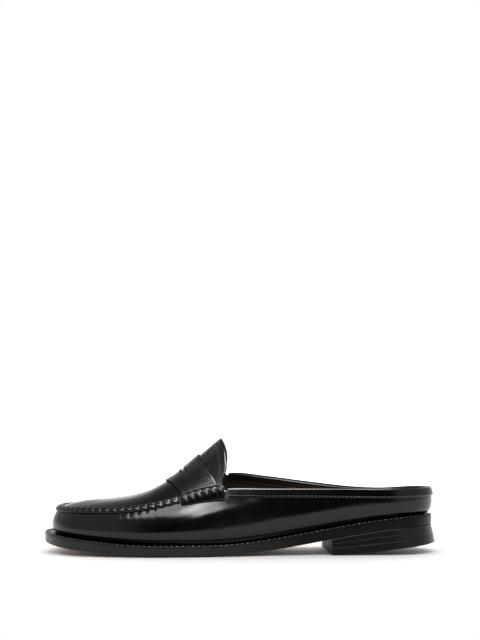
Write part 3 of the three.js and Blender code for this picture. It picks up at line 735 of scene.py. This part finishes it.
def slot_swell(points):
    """How far the leather under the strap's slot is pushed up through it."""
    along = (np.abs(points[:, 0] - station_x(SLOT_AT)) - SLOT_WIDTH * 0.35) / (SLOT_WIDTH * 0.4)
    across = np.abs(points[:, 1] - CREST_SKEW) / (SLOT_LENGTH * 0.5)
    return (1 - smooth(along)) * (1 - smooth(across)) * (points[:, 2] > COLLAR_HEIGHT)


def make_upper():
    fore = {side: np.linspace(0, CORNER[side], 150) for side in SIDES}
    rear = {side: np.linspace(CORNER[side], 1, 96)[1:] for side in SIDES}
    levels = np.concatenate([np.linspace(0, 0.6, 16), np.linspace(0.6, 1, 26)[1:]])
    rises = np.linspace(0, 1, 34) ** 1.15
    points, faces = [], []

    def add(sheet):
        faces.extend(grid_faces(sheet.shape[0], sheet.shape[1], start=len(points)))
        points.extend(sheet.reshape(-1, 3))
    for side in SIDES:
        add(wall_sheet(side, np.concatenate([fore[side], rear[side]]), levels))
        station = np.linspace(0, 1, 150)
        add(plug(side, station[:, None], rises[None, :]))
    points = np.array(points)
    points[:, 2] += slot_swell(points)
    # The shell's inner side takes the lining, whose dark colour is painted shade.
    obj = new_object("upper_shell", points, faces, [BLACK, LINING_PAINTED_SHADE, RAW_EDGE_AND_PAINTED_SHADOW], replaces="upper",
                     smooth_angle=75)
    noise.seed_set(UNEVEN_SEED)
    for vertex in obj.data.vertices:
        vertex.co += Vector(noise.noise_vector(vertex.co / (UNEVEN_LENGTH * MM))) * UNEVEN_HEIGHT * MM
    outward(obj)
    shell = obj.modifiers.new("thickness", "SOLIDIFY")
    shell.thickness = WALL_THICKNESS * MM
    shell.offset = -1
    shell.use_even_offset = True
    shell.material_offset = 1
    shell.material_offset_rim = 2


def outward(obj):
    """Turns an open sheet's faces so that its outer side is the front."""
    middle = Vector((0, 0, 0.02))
    mesh = obj.data
    score = sum((p.center - middle).dot(p.normal) * p.area for p in mesh.polygons)
    if score < 0:
        mesh.flip_normals()


# Saddle strap
def roll_top(x):
    along = np.clip((x - station_x(ROLL_FRONT_AT)) / (ROLL_BACK_AT - ROLL_FRONT_AT), 0, 1)
    return lerp(ROLL_FRONT_WIDTH / 2 - ROLL_FRONT_DROP, ROLL_BACK_WIDTH / 2 - ROLL_BACK_DROP, along)


def strap_place(side, from_crest, x):
    """Station and rise of the strap's point at that share of the way from the crest and at x."""
    def rise_at(station):
        clear = (roll_top(x) + 2 * GAP) / run_length(lambda rise: plug(side, station, rise))
        return lerp(1, clear, from_crest)
    station = bisect(lambda s: plug(side, s, rise_at(s))[..., 0], x, 0.3, 1.0)
    return station, rise_at(station)


def strap_point(side, from_crest, x, height):
    station, rise = strap_place(side, from_crest, x)
    normal = plug_normal(side, station, rise)
    return plug(side, station, rise) + normal * np.asarray(height, float)[..., None]


def strap_front(from_crest):
    return station_x(STRAP_FRONT_AT + STRAP_FRONT_SWEEP * from_crest ** STRAP_FRONT_POWER)


def strap_back(from_crest):
    return station_x(STRAP_BACK_AT + STRAP_BACK_SWEEP * from_crest ** STRAP_BACK_POWER)


def slot_edges(side, from_crest):
    """x of the slot's front and back edges at each share of the way from the crest."""
    half = SLOT_LENGTH / 2
    y = plug(side, *strap_place(side, from_crest, np.full_like(from_crest, station_x(SLOT_AT) + 2)))[..., 1]
    middle = plug("lateral", *strap_place("lateral", np.zeros(1), np.array([station_x(SLOT_AT)])))[0, 1]
    off = np.clip(np.abs(y - middle) / half, 0, 3)
    sweep = SLOT_SWEEP * (2 * off ** 2 - 1)
    flare = SLOT_FLARE * (2 * off ** 2 - 1)
    front = station_x(SLOT_AT - SLOT_WIDTH / 2) + np.minimum(sweep, SLOT_SWEEP * 2)
    back = station_x(SLOT_AT + SLOT_WIDTH / 2) + np.minimum(sweep + flare, (SLOT_SWEEP + SLOT_FLARE) * 2)
    return front, back, off <= 1


def make_strap():
    columns, before, within, after = 64, 14, 5, 14
    points, faces = [], []
    for side in SIDES:
        from_crest = np.linspace(0, 1, columns)
        front, back = strap_front(from_crest), strap_back(from_crest)
        low, high, open_here = slot_edges(side, from_crest)
        low = np.clip(low, front + 2, back - 4)
        high = np.clip(high, low + 0.5, back - 2)
        rows = np.concatenate([
            lerp(front[:, None], low[:, None], np.linspace(0, 1, before)[None, :]),
            lerp(low[:, None], high[:, None], np.linspace(0, 1, within)[None, 1:]),
            lerp(high[:, None], back[:, None], np.linspace(0, 1, after)[None, 1:]),
        ], axis=1)
        along = np.repeat(from_crest[:, None], rows.shape[1], axis=1)
        sheet = strap_point(side, along, rows, GAP)
        cut = range(before - 1, before + within - 2)
        faces += grid_faces(*rows.shape, start=len(points),
                            skip=lambda i, j: open_here[i] and open_here[i + 1] and j in cut)
        points.extend(sheet.reshape(-1, 3))
    obj = new_object("saddle_strap_skin", points, faces, [STRAP_BLACK, RAW_EDGE_AND_PAINTED_SHADOW], replaces="saddle_strap",
                     smooth_angle=60)
    outward(obj)
    shell = obj.modifiers.new("thickness", "SOLIDIFY")
    shell.thickness = STRAP_THICKNESS * MM
    shell.offset = 1
    shell.material_offset_rim = 1
    bevel = obj.modifiers.new("soft edges", "BEVEL")
    bevel.width = STRAP_BEVEL * MM
    bevel.segments = 3
    bevel.material = 1
    bevel.limit_method = "ANGLE"
    bevel.angle_limit = math.radians(50)


def make_strap_edge_shadows():
    """Painted shadow along the strap's cut edges: a dark matte line in front, behind and round the slot,
    standing for the shade there.
    """
    lip = GAP + STRAP_THICKNESS * 0.45
    slot_lip = lip + 0.35
    reach = 0.12
    paths = []
    for side in SIDES:
        from_crest = np.linspace(0, 1, 90)
        low, high, open_here = slot_edges(side, from_crest)
        paths.append(strap_point(side, from_crest, strap_front(from_crest) - reach, lip))
        paths.append(strap_point(side, from_crest, strap_back(from_crest) + reach, lip))
        for x in (low, high):
            paths.append(strap_point(side, from_crest[open_here], x[open_here], slot_lip))
        last = np.flatnonzero(open_here)[-1]
        paths.append(strap_point(side, from_crest[last], np.linspace(low[last], high[last], 9), slot_lip))
    # Painted shadow: dark matte tubes that stand for the shade at the strap's edges.
    tubes("strap_edge_painted_shadow", paths, 0.36, RAW_EDGE_AND_PAINTED_SHADOW)


# Rolls, seam and binding
def stitch_wave(along, pitch):
    """1 between two stitches and 0 at each stitch."""
    return np.abs(np.sin(np.pi * along / pitch)) ** 0.55


def roll_bulge(angle):
    """The roll's height over its section, fuller on the upper side, so that its face stands upright."""
    return 0.85 * np.sin(angle) ** 0.55 * (1 - 0.55 * np.cos(angle))


def make_roll(side):
    start, end = share_at_x(side, station_x(ROLL_FRONT_AT)), share_at_x(side, station_x(ROLL_BACK_AT))
    count = 90
    t = np.linspace(0, 1, count)
    share = lerp(start, end, t)
    swell = 0.86 + 0.14 * stitch_wave(t * ROLL_WRAPS, 1)
    tip = np.sqrt(np.clip(1 - (1 - np.minimum(t, 1 - t) / 0.05).clip(0) ** 2, 0.02, 1))
    width = lerp(ROLL_FRONT_WIDTH, ROLL_BACK_WIDTH, t) * (0.93 + 0.07 * swell) * (0.6 + 0.4 * tip)
    height = lerp(ROLL_FRONT_HEIGHT, ROLL_BACK_HEIGHT, t) * swell * tip
    drop = lerp(ROLL_FRONT_DROP, ROLL_BACK_DROP, t)
    angle = np.linspace(0, np.pi, 20)
    w = -np.cos(angle)[None, :] * width[:, None] / 2 - drop[:, None]
    h = GAP + roll_bulge(angle)[None, :] * height[:, None]
    top = over_surface(side, share[:, None], w, h)
    base = over_surface(side, share[:, None], w[:, ::-1][:, 6:-6:3], GAP)
    loft_object(f"roll_{side}_skin", np.concatenate([top, base], axis=1), ROLL_BLACK, replaces=f"roll_{side}",
                smooth_angle=70)
    wraps = []
    for n in range(1, ROLL_WRAPS):
        for shift in (-0.008, 0.008):
            at = n / ROLL_WRAPS + shift
            k = lambda values: np.interp(at, t, values)
            arc = np.linspace(0.12, np.pi - 0.12, 14)
            lean = np.linspace(0.035, -0.035, 14)
            ww = -np.cos(arc) * k(width) / 2 - k(drop)
            hh = GAP + roll_bulge(arc) * k(height) + 0.02
            wraps.append(over_surface(side, lerp(start, end, at + lean), ww, hh))
    tubes(f"roll_{side}_thread", wraps, 0.18, ROLL_BLACK)
    loops = []
    for n in range(ROLL_WRAPS):
        at = (n + 0.5) / ROLL_WRAPS + np.linspace(-0.035, 0.035, 7)
        edge = np.interp(at, t, width) / 2 - np.interp(at, t, drop) + np.linspace(-1.2, 0.1, 7)
        rise = GAP + np.interp(at, t, height) * 0.72 + 0.25
        loops.append(over_surface(side, lerp(start, end, at), edge, rise))
    tubes(f"roll_{side}_stitches", loops, 0.42, THREAD)


def seam_run(side, spacing):
    """Shares of the seam from the toe to the roll, evenly spaced."""
    end = float(share_at_x(side, station_x(ROLL_FRONT_AT) - GAP))
    count = int(end * RUNS[side][3] / spacing)
    return np.linspace(0, end, count)


def seam_profile(side, share, across):
    """Height of the raised seam at w = across of its half width, pinched at each stitch."""
    swell = 0.7 + 0.3 * stitch_wave(share * RUNS[side][3], SEAM_PITCH)
    body = np.sqrt(np.clip(1 - across ** 2, 0, 1)) ** 0.7
    groove = 0.28 * np.exp(-((across - 0.12) / 0.13) ** 2)
    return GAP + SEAM_HEIGHT * swell * (body - groove * body)


def make_seam():
    angle = np.linspace(0, np.pi, 19)
    across = -np.cos(angle)
    loops = []
    for side in SIDES:
        share = seam_run(side, 0.42)
        if side == "lateral":
            share = share[::-1]
        else:
            share = share[1:]
        top = over_surface(side, share[:, None], across[None, :] * SEAM_WIDTH / 2,
                           seam_profile(side, share[:, None], across[None, :]))
        base = over_surface(side, share[:, None], across[None, 14:4:-4] * SEAM_WIDTH / 2, GAP)
        loops.append(np.concatenate([top, base], axis=1))
    loft_object("moc_seam_ridge", np.concatenate(loops), BLACK, replaces="moc_seam",
                smooth_angle=75)
    stitches = []
    for side in SIDES:
        end = seam_run(side, 1)[-1] * RUNS[side][3]
        for n in range(1, int(end / SEAM_PITCH) + 1):
            across_stitch = np.linspace(-0.98, 0.98, 14)
            lean = np.linspace(0.45, -0.45, 14)
            share = (n * SEAM_PITCH + lean) / RUNS[side][3]
            height = seam_profile(side, np.full(14, n * SEAM_PITCH / RUNS[side][3]), across_stitch) + 0.16
            stitches.append(over_surface(side, share, across_stitch * SEAM_WIDTH / 2, height))
    tubes("moc_seam_thread", stitches, 0.32, THREAD)


def band_section():
    """The binding's section as (distance above the rim, height off the wall) pairs, outside first."""
    outer = GAP + BAND_THICKNESS
    inner = -WALL_THICKNESS - outer
    soft = BAND_THICKNESS * 0.45
    outside = [(-BAND_OUTSIDE, GAP), (-BAND_OUTSIDE, outer - soft), (-BAND_OUTSIDE + soft, outer)]
    outside += [(-BAND_OUTSIDE * k, outer) for k in (0.75, 0.5, 0.25, 0.1)]
    arc = np.linspace(0, np.pi, 13)
    half = outer + WALL_THICKNESS / 2
    top = [(outer * math.sqrt(math.sin(a)), math.copysign(math.sqrt(abs(math.cos(a))), math.cos(a)) * half
            - WALL_THICKNESS / 2) for a in arc]
    within = [(-BAND_INSIDE * k, inner) for k in (0.1, 0.25, 0.5, 0.75)]
    within += [(-BAND_INSIDE + soft, inner), (-BAND_INSIDE, inner + soft),
               (-BAND_INSIDE, -WALL_THICKNESS - GAP)]
    back = [(0, -WALL_THICKNESS - GAP), (GAP, -WALL_THICKNESS - GAP), (GAP, GAP), (0, GAP)]
    return np.array(outside + top + within + back)


def band_places(spacing):
    """(side, share) along the binding from the lateral roll round the heel to the medial one."""
    places = []
    for side in SIDES:
        start = float(share_at_x(side, station_x(THROAT_AT + BAND_FROM_THROAT)))
        count = int((1 - start) * RUNS[side][3] / spacing)
        run = np.linspace(start, 1, count)
        places.append((side, run if side == "lateral" else run[-2::-1]))
    return places


def band_point(side, share, w, h):
    """Like over_surface, but w above 0 goes straight up past the rim."""
    share, w, h = np.broadcast_arrays(share, w, h)
    base = over_surface(side, share, np.minimum(w, 0), h)
    rim = wall(side, share, 1.0)
    up = unit(rim - over_surface(side, share, -BAND_OUTSIDE / 4, 0))
    return base + up * np.maximum(w, 0)[..., None]


def make_band():
    section = band_section()
    loops = []
    for side, share in band_places(1.1):
        loops.append(band_point(side, share[:, None], section[None, :, 0], section[None, :, 1]))
    loft_object("collar_band_skin", np.concatenate(loops), BLACK, replaces="collar_band",
                smooth_angle=60)
    outer = GAP + BAND_THICKNESS + 0.02
    inner = -WALL_THICKNESS - outer
    for name, reach, h in (("outer", BAND_OUTSIDE, outer), ("inner", BAND_INSIDE, inner)):
        w = -reach + BAND_STITCH_INSET
        path = np.concatenate([band_point(side, share, w, h) for side, share in band_places(0.8)])
        tubes(f"band_thread_{name}", resample(path, FINE_PITCH), 0.24, FINE_THREAD, sides=6)


# Flat stitching on strap and tongue
def make_strap_stitching():
    rows = []
    height = GAP + STRAP_THICKNESS + 0.02
    for inset in STRAP_STITCH_INSETS:
        for side in SIDES:
            from_crest = np.linspace(0.45, 0.98, 60)
            run = strap_point(side, from_crest, strap_back(from_crest) - inset, height)
            rows += resample(run, FINE_PITCH)
    tubes("strap_thread", rows, 0.17, FINE_THREAD, sides=6)


def make_tongue_stitching():
    path = []
    for side in SIDES:
        rise = np.linspace(0.14, 1, 90)
        x = plug(side, 1.0, rise)[..., 0] - TONGUE_STITCH_INSET
        station = bisect(lambda s: plug(side, s, rise)[..., 0], x, 0.5, 1.0)
        normal = plug_normal(side, station, rise)
        run = plug(side, station, rise) + normal * 0.02
        path.append(run if side == "lateral" else run[-2::-1])
    tubes("tongue_thread", resample(np.concatenate(path), FINE_PITCH), 0.24, FINE_THREAD, sides=6)


# Sole and heel
def edge_share_at_x(side, x):
    return bisect(lambda s: edge_point(side, s)[..., 0], np.asarray(x, float), 0, 1)


def sole_pairs(count=150):
    lateral = np.linspace(0, 1, count)
    medial = edge_share_at_x("medial", edge_point("lateral", lateral)[:, 0])
    medial[0], medial[-1] = 0, 1
    return lateral, medial


def wall_inset(at):
    return SECTION["foot"](at) * WELT_MARGIN + FOOT_TUCK + WALL_THICKNESS


def welt_inset(at):
    return wall_inset(at) + WELT_REACH


def edge_loop(pairs, inset, z, end=-1):
    """A closed loop inside the edge: along the lateral side, and back along the medial one up to end."""
    lateral, medial = pairs
    left = inside("lateral", lateral, inset, z)
    right = inside("medial", medial[::-1], inset, z)
    return np.concatenate([left, right[1:end]])


def face_material(obj, index, matches):
    """Gives that material to the faces whose normal matches."""
    for polygon in obj.data.polygons:
        if matches(polygon.normal):
            polygon.material_index = index


def plate_object(name, pairs, levels, materials, across=12, **kind):
    """A plate through levels of (inset, z), capped by rows from the lateral to the medial edge."""
    loops = [edge_loop(pairs, inset, z) for inset, z in levels]
    faces = grid_faces(len(levels), len(loops[0]), close_columns=True)
    points = list(np.concatenate(loops))
    for inset, z in (levels[0], levels[-1]):
        left, right = (inside(side, run, inset, z) for side, run in zip(SIDES, pairs))
        sheet = lerp(left[:, None], right[:, None], np.linspace(0, 1, across)[None, :, None])
        sheet[..., 2] = z(sheet[..., 0])
        faces += grid_faces(len(left), across, start=len(points))
        points.extend(sheet.reshape(-1, 3))
    return new_object(name, points, faces, materials, smooth_angle=35, **kind)


def make_outsole():
    levels = [(OUTSOLE_STEP + inset, lambda x, rise=rise: sole_bottom(x) + rise)
              for inset, rise in OUTSOLE_ROUNDING]
    levels += [
        (OUTSOLE_STEP * 0.4, lambda x: outsole_top(x) - 0.5),
        (OUTSOLE_STEP * 0.2, lambda x: outsole_top(x) + GAP * 0.8),
    ]
    body = plate_object("outsole_body", sole_pairs(), levels, [EDGE_BLACK, SOLE_TAN], replaces="outsole",
                        slot="edge_leather")
    face_material(body, 1, lambda normal: normal.z < -0.93)


def make_welt():
    lateral, medial = sole_pairs(190)
    levels = [
        (0.06, lambda x: outsole_top(x) + GAP), (0.0, lambda x: outsole_top(x) + GAP + 0.1),
        (0.0, lambda x: welt_top(x) - 0.35), (0.1, lambda x: welt_top(x) - 0.12),
        (0.35, welt_top), (1.4, welt_top), (3.0, welt_top), (welt_inset, welt_top),
        (welt_inset, lambda x: outsole_top(x) + GAP),
    ]
    loops = [edge_loop((lateral, medial), inset, z) for inset, z in levels]
    loft_object("welt_strip", np.stack(loops, axis=1), EDGE_BLACK, close=True, replaces="welt",
                slot="edge_leather")
    top = lambda x: welt_top(x) + 0.05
    path = np.concatenate([inside("lateral", lateral, WELT_STITCH_INSET, top),
                           inside("medial", medial[::-1], WELT_STITCH_INSET, top)])
    tubes("welt_thread_row", resample(path, WELT_PITCH, 0.66), 0.34, WELT_THREAD, sides=6,
          slot="edge_leather")


def make_insole():
    seat = lambda x: welt_top(x) + GAP
    clear = lambda at: wall_inset(at) + INSOLE_CLEARANCE
    levels = [
        (lambda at: welt_inset(at) + GAP, lambda x: outsole_top(x) + GAP),
        (lambda at: welt_inset(at) + GAP, seat),
        (clear, seat),
        (lambda at: clear(at) - INSOLE_FLARE, lambda x: seat(x) + INSOLE_THICKNESS - INSOLE_CHAMFER),
        (lambda at: clear(at) - INSOLE_FLARE * 0.8,
         lambda x: seat(x) + INSOLE_THICKNESS - INSOLE_CHAMFER * 0.35),
        (clear, lambda x: seat(x) + INSOLE_THICKNESS),
    ]
    plate_object("insole_body", sole_pairs(120), levels, [SOCK], across=16, replaces="insole",
                 slot="lining_leather")


BREAST_X = station_x(BREAST_AT)
HEEL_FLAT_X = BREAST_X + HEEL_FLAT
HEEL_BACK_X = WELT_BACK_X + HEEL_RAKE


def heel_foot(x):
    return HEEL_LIFT * np.maximum(0, (x - HEEL_FLAT_X) / (HEEL_BACK_X - HEEL_FLAT_X))


def heel_pairs():
    breast = float(edge_share_at_x("lateral", BREAST_X))
    flat_end = float(edge_share_at_x("lateral", HEEL_FLAT_X))
    lateral = np.concatenate([np.linspace(breast, flat_end, 5), np.linspace(flat_end, 1, 60)[1:]])
    skew = BREAST_SKEW * (1 - lateral) / (1 - breast)
    medial = edge_share_at_x("medial", edge_point("lateral", lateral)[:, 0] - skew)
    medial[-1] = 1
    return lateral, medial


def heel_inset(depth, extra=0.0):
    def inset(at):
        flare = lerp(HEEL_SIDE_FLARE, HEEL_RAKE, smooth((at - HEEL_ROUND_FROM) / (1 - HEEL_ROUND_FROM)))
        return OUTSOLE_STEP - (OUTSOLE_STEP + flare) * depth + extra
    return inset


def heel_plate(name, node, low, high, depth_low, depth_high, edge=0.06):
    """A layer of the heel between the surfaces low and high, with both rims softened by edge."""
    levels = [
        (heel_inset(depth_low, edge), low),
        (heel_inset(depth_low), lambda x: low(x) + edge),
        (heel_inset(depth_high), lambda x: high(x) - edge),
        (heel_inset(depth_high, edge), high),
    ]
    pairs = heel_pairs()
    loops = [edge_loop(pairs, inset, z, None) for inset, z in levels]
    size, half = len(loops[0]), len(pairs[0])
    faces = grid_faces(len(levels), size, close_columns=True)
    for base in (0, (len(levels) - 1) * size):
        for j in range(half - 2):
            faces.append((base + j, base + j + 1, base + size - 2 - j, base + size - 1 - j))
        faces.append((base + half - 2, base + half - 1, base + half))
    obj = new_object(name, np.concatenate(loops), faces, [STACKED, BREAST], replaces=node,
                     slot="stacked_leather", smooth_angle=30)
    face_material(obj, 1, lambda normal: normal.x < -0.9)


def make_heel():
    def top_piece_top(x):
        return heel_foot(x) + TOP_PIECE_THICKNESS

    def layer(share, gap):
        return lambda x: lerp(top_piece_top(x), sole_bottom(x), share) + gap

    heel_plate("top_piece_body", "heel_top_piece", heel_foot, top_piece_top, 1, HEEL_TOP_DEPTH, 0.15)
    for n in range(HEEL_LIFTS):
        low, high = n / HEEL_LIFTS, (n + 1) / HEEL_LIFTS
        depths = [HEEL_TOP_DEPTH * (1 - share) for share in (low, high)]
        surfaces = layer(low, LIFT_GAP), layer(high, -LIFT_GAP)
        heel_plate(f"heel_lift_{n + 1}_body", f"heel_lift_{n + 1}", *surfaces, *depths)


# Floor, light and camera
def make_floor():
    mesh = bpy.data.meshes.new("floor")
    far, front = FLOOR_REACH, FLOOR_FRONT
    mesh.from_pydata([(-far, front, 0), (far, front, 0), (far, far, 0), (-far, far, 0)], [], [(0, 1, 2, 3)])
    floor = bpy.data.objects.new("floor", mesh)
    bpy.context.collection.objects.link(floor)
    material = bpy.data.materials.new("studio_floor")
    material.use_nodes = True
    shader = material.node_tree.nodes["Principled BSDF"]
    shader.inputs["Base Color"].default_value = (0.94, 0.94, 0.94, 1)
    shader.inputs["Roughness"].default_value = 0.6
    shader.inputs["Specular IOR Level"].default_value = 0.2
    mesh.materials.append(material)


def make_world():
    """The studio that the leather mirrors: ARCH over it and two side walls. The camera sees white."""
    world = bpy.data.worlds.new("studio")
    bpy.context.scene.world = world
    world.use_nodes = True
    nodes, links = world.node_tree.nodes, world.node_tree.links
    coordinate = nodes.new("ShaderNodeTexCoord")
    split = nodes.new("ShaderNodeSeparateXYZ")
    links.new(coordinate.outputs["Generated"], split.inputs["Vector"])

    def math_node(operation, first, second):
        node = nodes.new("ShaderNodeMath")
        node.operation = operation
        for socket, value in zip(node.inputs, (first, second)):
            if isinstance(value, (int, float)):
                socket.default_value = value
            else:
                links.new(value, socket)
        return node.outputs[0]

    def fade(source, start, end, top=1.0):
        node = nodes.new("ShaderNodeMapRange")
        node.interpolation_type = "SMOOTHSTEP"
        node.inputs["From Min"].default_value = start
        node.inputs["From Max"].default_value = end
        node.inputs["To Max"].default_value = top
        links.new(source, node.inputs["Value"])
        return node.outputs["Result"]

    x, y, z = (split.outputs[axis] for axis in "XYZ")
    turn = math_node("ARCTAN2", z, math_node("MULTIPLY", y, -1.0))
    ramp = nodes.new("ShaderNodeValToRGB")
    links.new(math_node("DIVIDE", turn, math.pi), ramp.inputs["Fac"])
    elements = ramp.color_ramp.elements
    while len(elements) < len(ARCH):
        elements.new(0.5)
    for element, (angle, value) in zip(elements, ARCH):
        element.position = angle / 180
        element.color = (value, value, value, 1)
    left = math_node("MULTIPLY", fade(x, -0.02, -0.5, LEFT_WALL), fade(y, 0.3, 0.0))
    left = math_node("MAXIMUM", left, fade(x, -0.36, -0.52, LEFT_WALL))
    right = fade(x, 0.25, 0.5, RIGHT_WALL)
    value = math_node("MAXIMUM", ramp.outputs["Color"], math_node("MAXIMUM", left, right))
    path = nodes.new("ShaderNodeLightPath")
    value = math_node("MAXIMUM", value, path.outputs["Is Camera Ray"])
    links.new(value, nodes["Background"].inputs["Color"])


def add_light(name, energy, place, turn, hidden, size=None, spread=0):
    """A rectangular lamp of that size, or else a sun of that spread, unseen by the rays in hidden."""
    data = bpy.data.lights.new(name, "AREA" if size else "SUN")
    data.energy = energy
    if size:
        data.shape = "RECTANGLE"
        data.size, data.size_y = size
    else:
        data.angle = math.radians(spread)
    light = bpy.data.objects.new(name, data)
    light.location = place
    light.rotation_euler = turn
    for ray in hidden:
        setattr(light, f"visible_{ray}", False)
    bpy.context.collection.objects.link(light)


def make_lamp(name, side, angle, tilt, length, width, distance, radiance):
    """A lamp that only the leather's mirror sees, aimed at the lateral shoulder of the wall."""
    turn = math.radians(angle)
    flat = math.sqrt(1 - side * side)
    away = Vector((side, -math.cos(turn) * flat, math.sin(turn) * flat))
    aim = away.to_track_quat("Z", "Y") @ Quaternion((0, 0, 1), math.radians(tilt))
    energy = radiance * math.pi * length * width
    place = Vector(LAMP_TARGET) + away * distance
    add_light(name, energy, place, aim.to_euler(), ("diffuse", "camera"), (length, width))


def make_room_light():
    """Even light from above and a low one from behind, which reaches under the shank."""
    turn = [math.radians(angle) for angle in SUN_TURN]
    add_light("room", SUN_ENERGY, (0, 0, 0), (*turn, 0), ("glossy",), spread=SUN_SPREAD)
    add_light("backdrop", BACKDROP_ENERGY, BACKDROP_PLACE, (math.radians(-90), 0, 0), ("glossy", "camera"),
              BACKDROP_SIZE)


def make_camera():
    focal_pixels = CAMERA_DISTANCE / PIXEL_SIZE
    data = bpy.data.cameras.new("camera")
    data.sensor_width = 36
    data.lens = focal_pixels / IMAGE_HEIGHT * data.sensor_width
    data.clip_start = 0.01
    camera = bpy.data.objects.new("camera", data)
    camera.location = (0, -CAMERA_DISTANCE, CAMERA_HEIGHT)
    tilt = math.atan((HORIZON_ROW - IMAGE_HEIGHT / 2) / focal_pixels)
    camera.rotation_euler = (math.radians(90) + tilt, 0, 0)
    bpy.context.collection.objects.link(camera)
    bpy.context.scene.camera = camera


make_camera()
make_floor()
make_world()
for lamp in LAMPS:
    make_lamp(**lamp)
make_room_light()
bpy.context.scene.view_settings.view_transform = "Standard"

make_upper()
make_strap()
make_strap_edge_shadows()
for side in SIDES:
    make_roll(side)
make_seam()
make_band()
make_strap_stitching()
make_tongue_stitching()
make_insole()
make_welt()
make_outsole()
make_heel()
for piece in PIECES:
    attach(piece, "root")

bpy.context.view_layer.update()
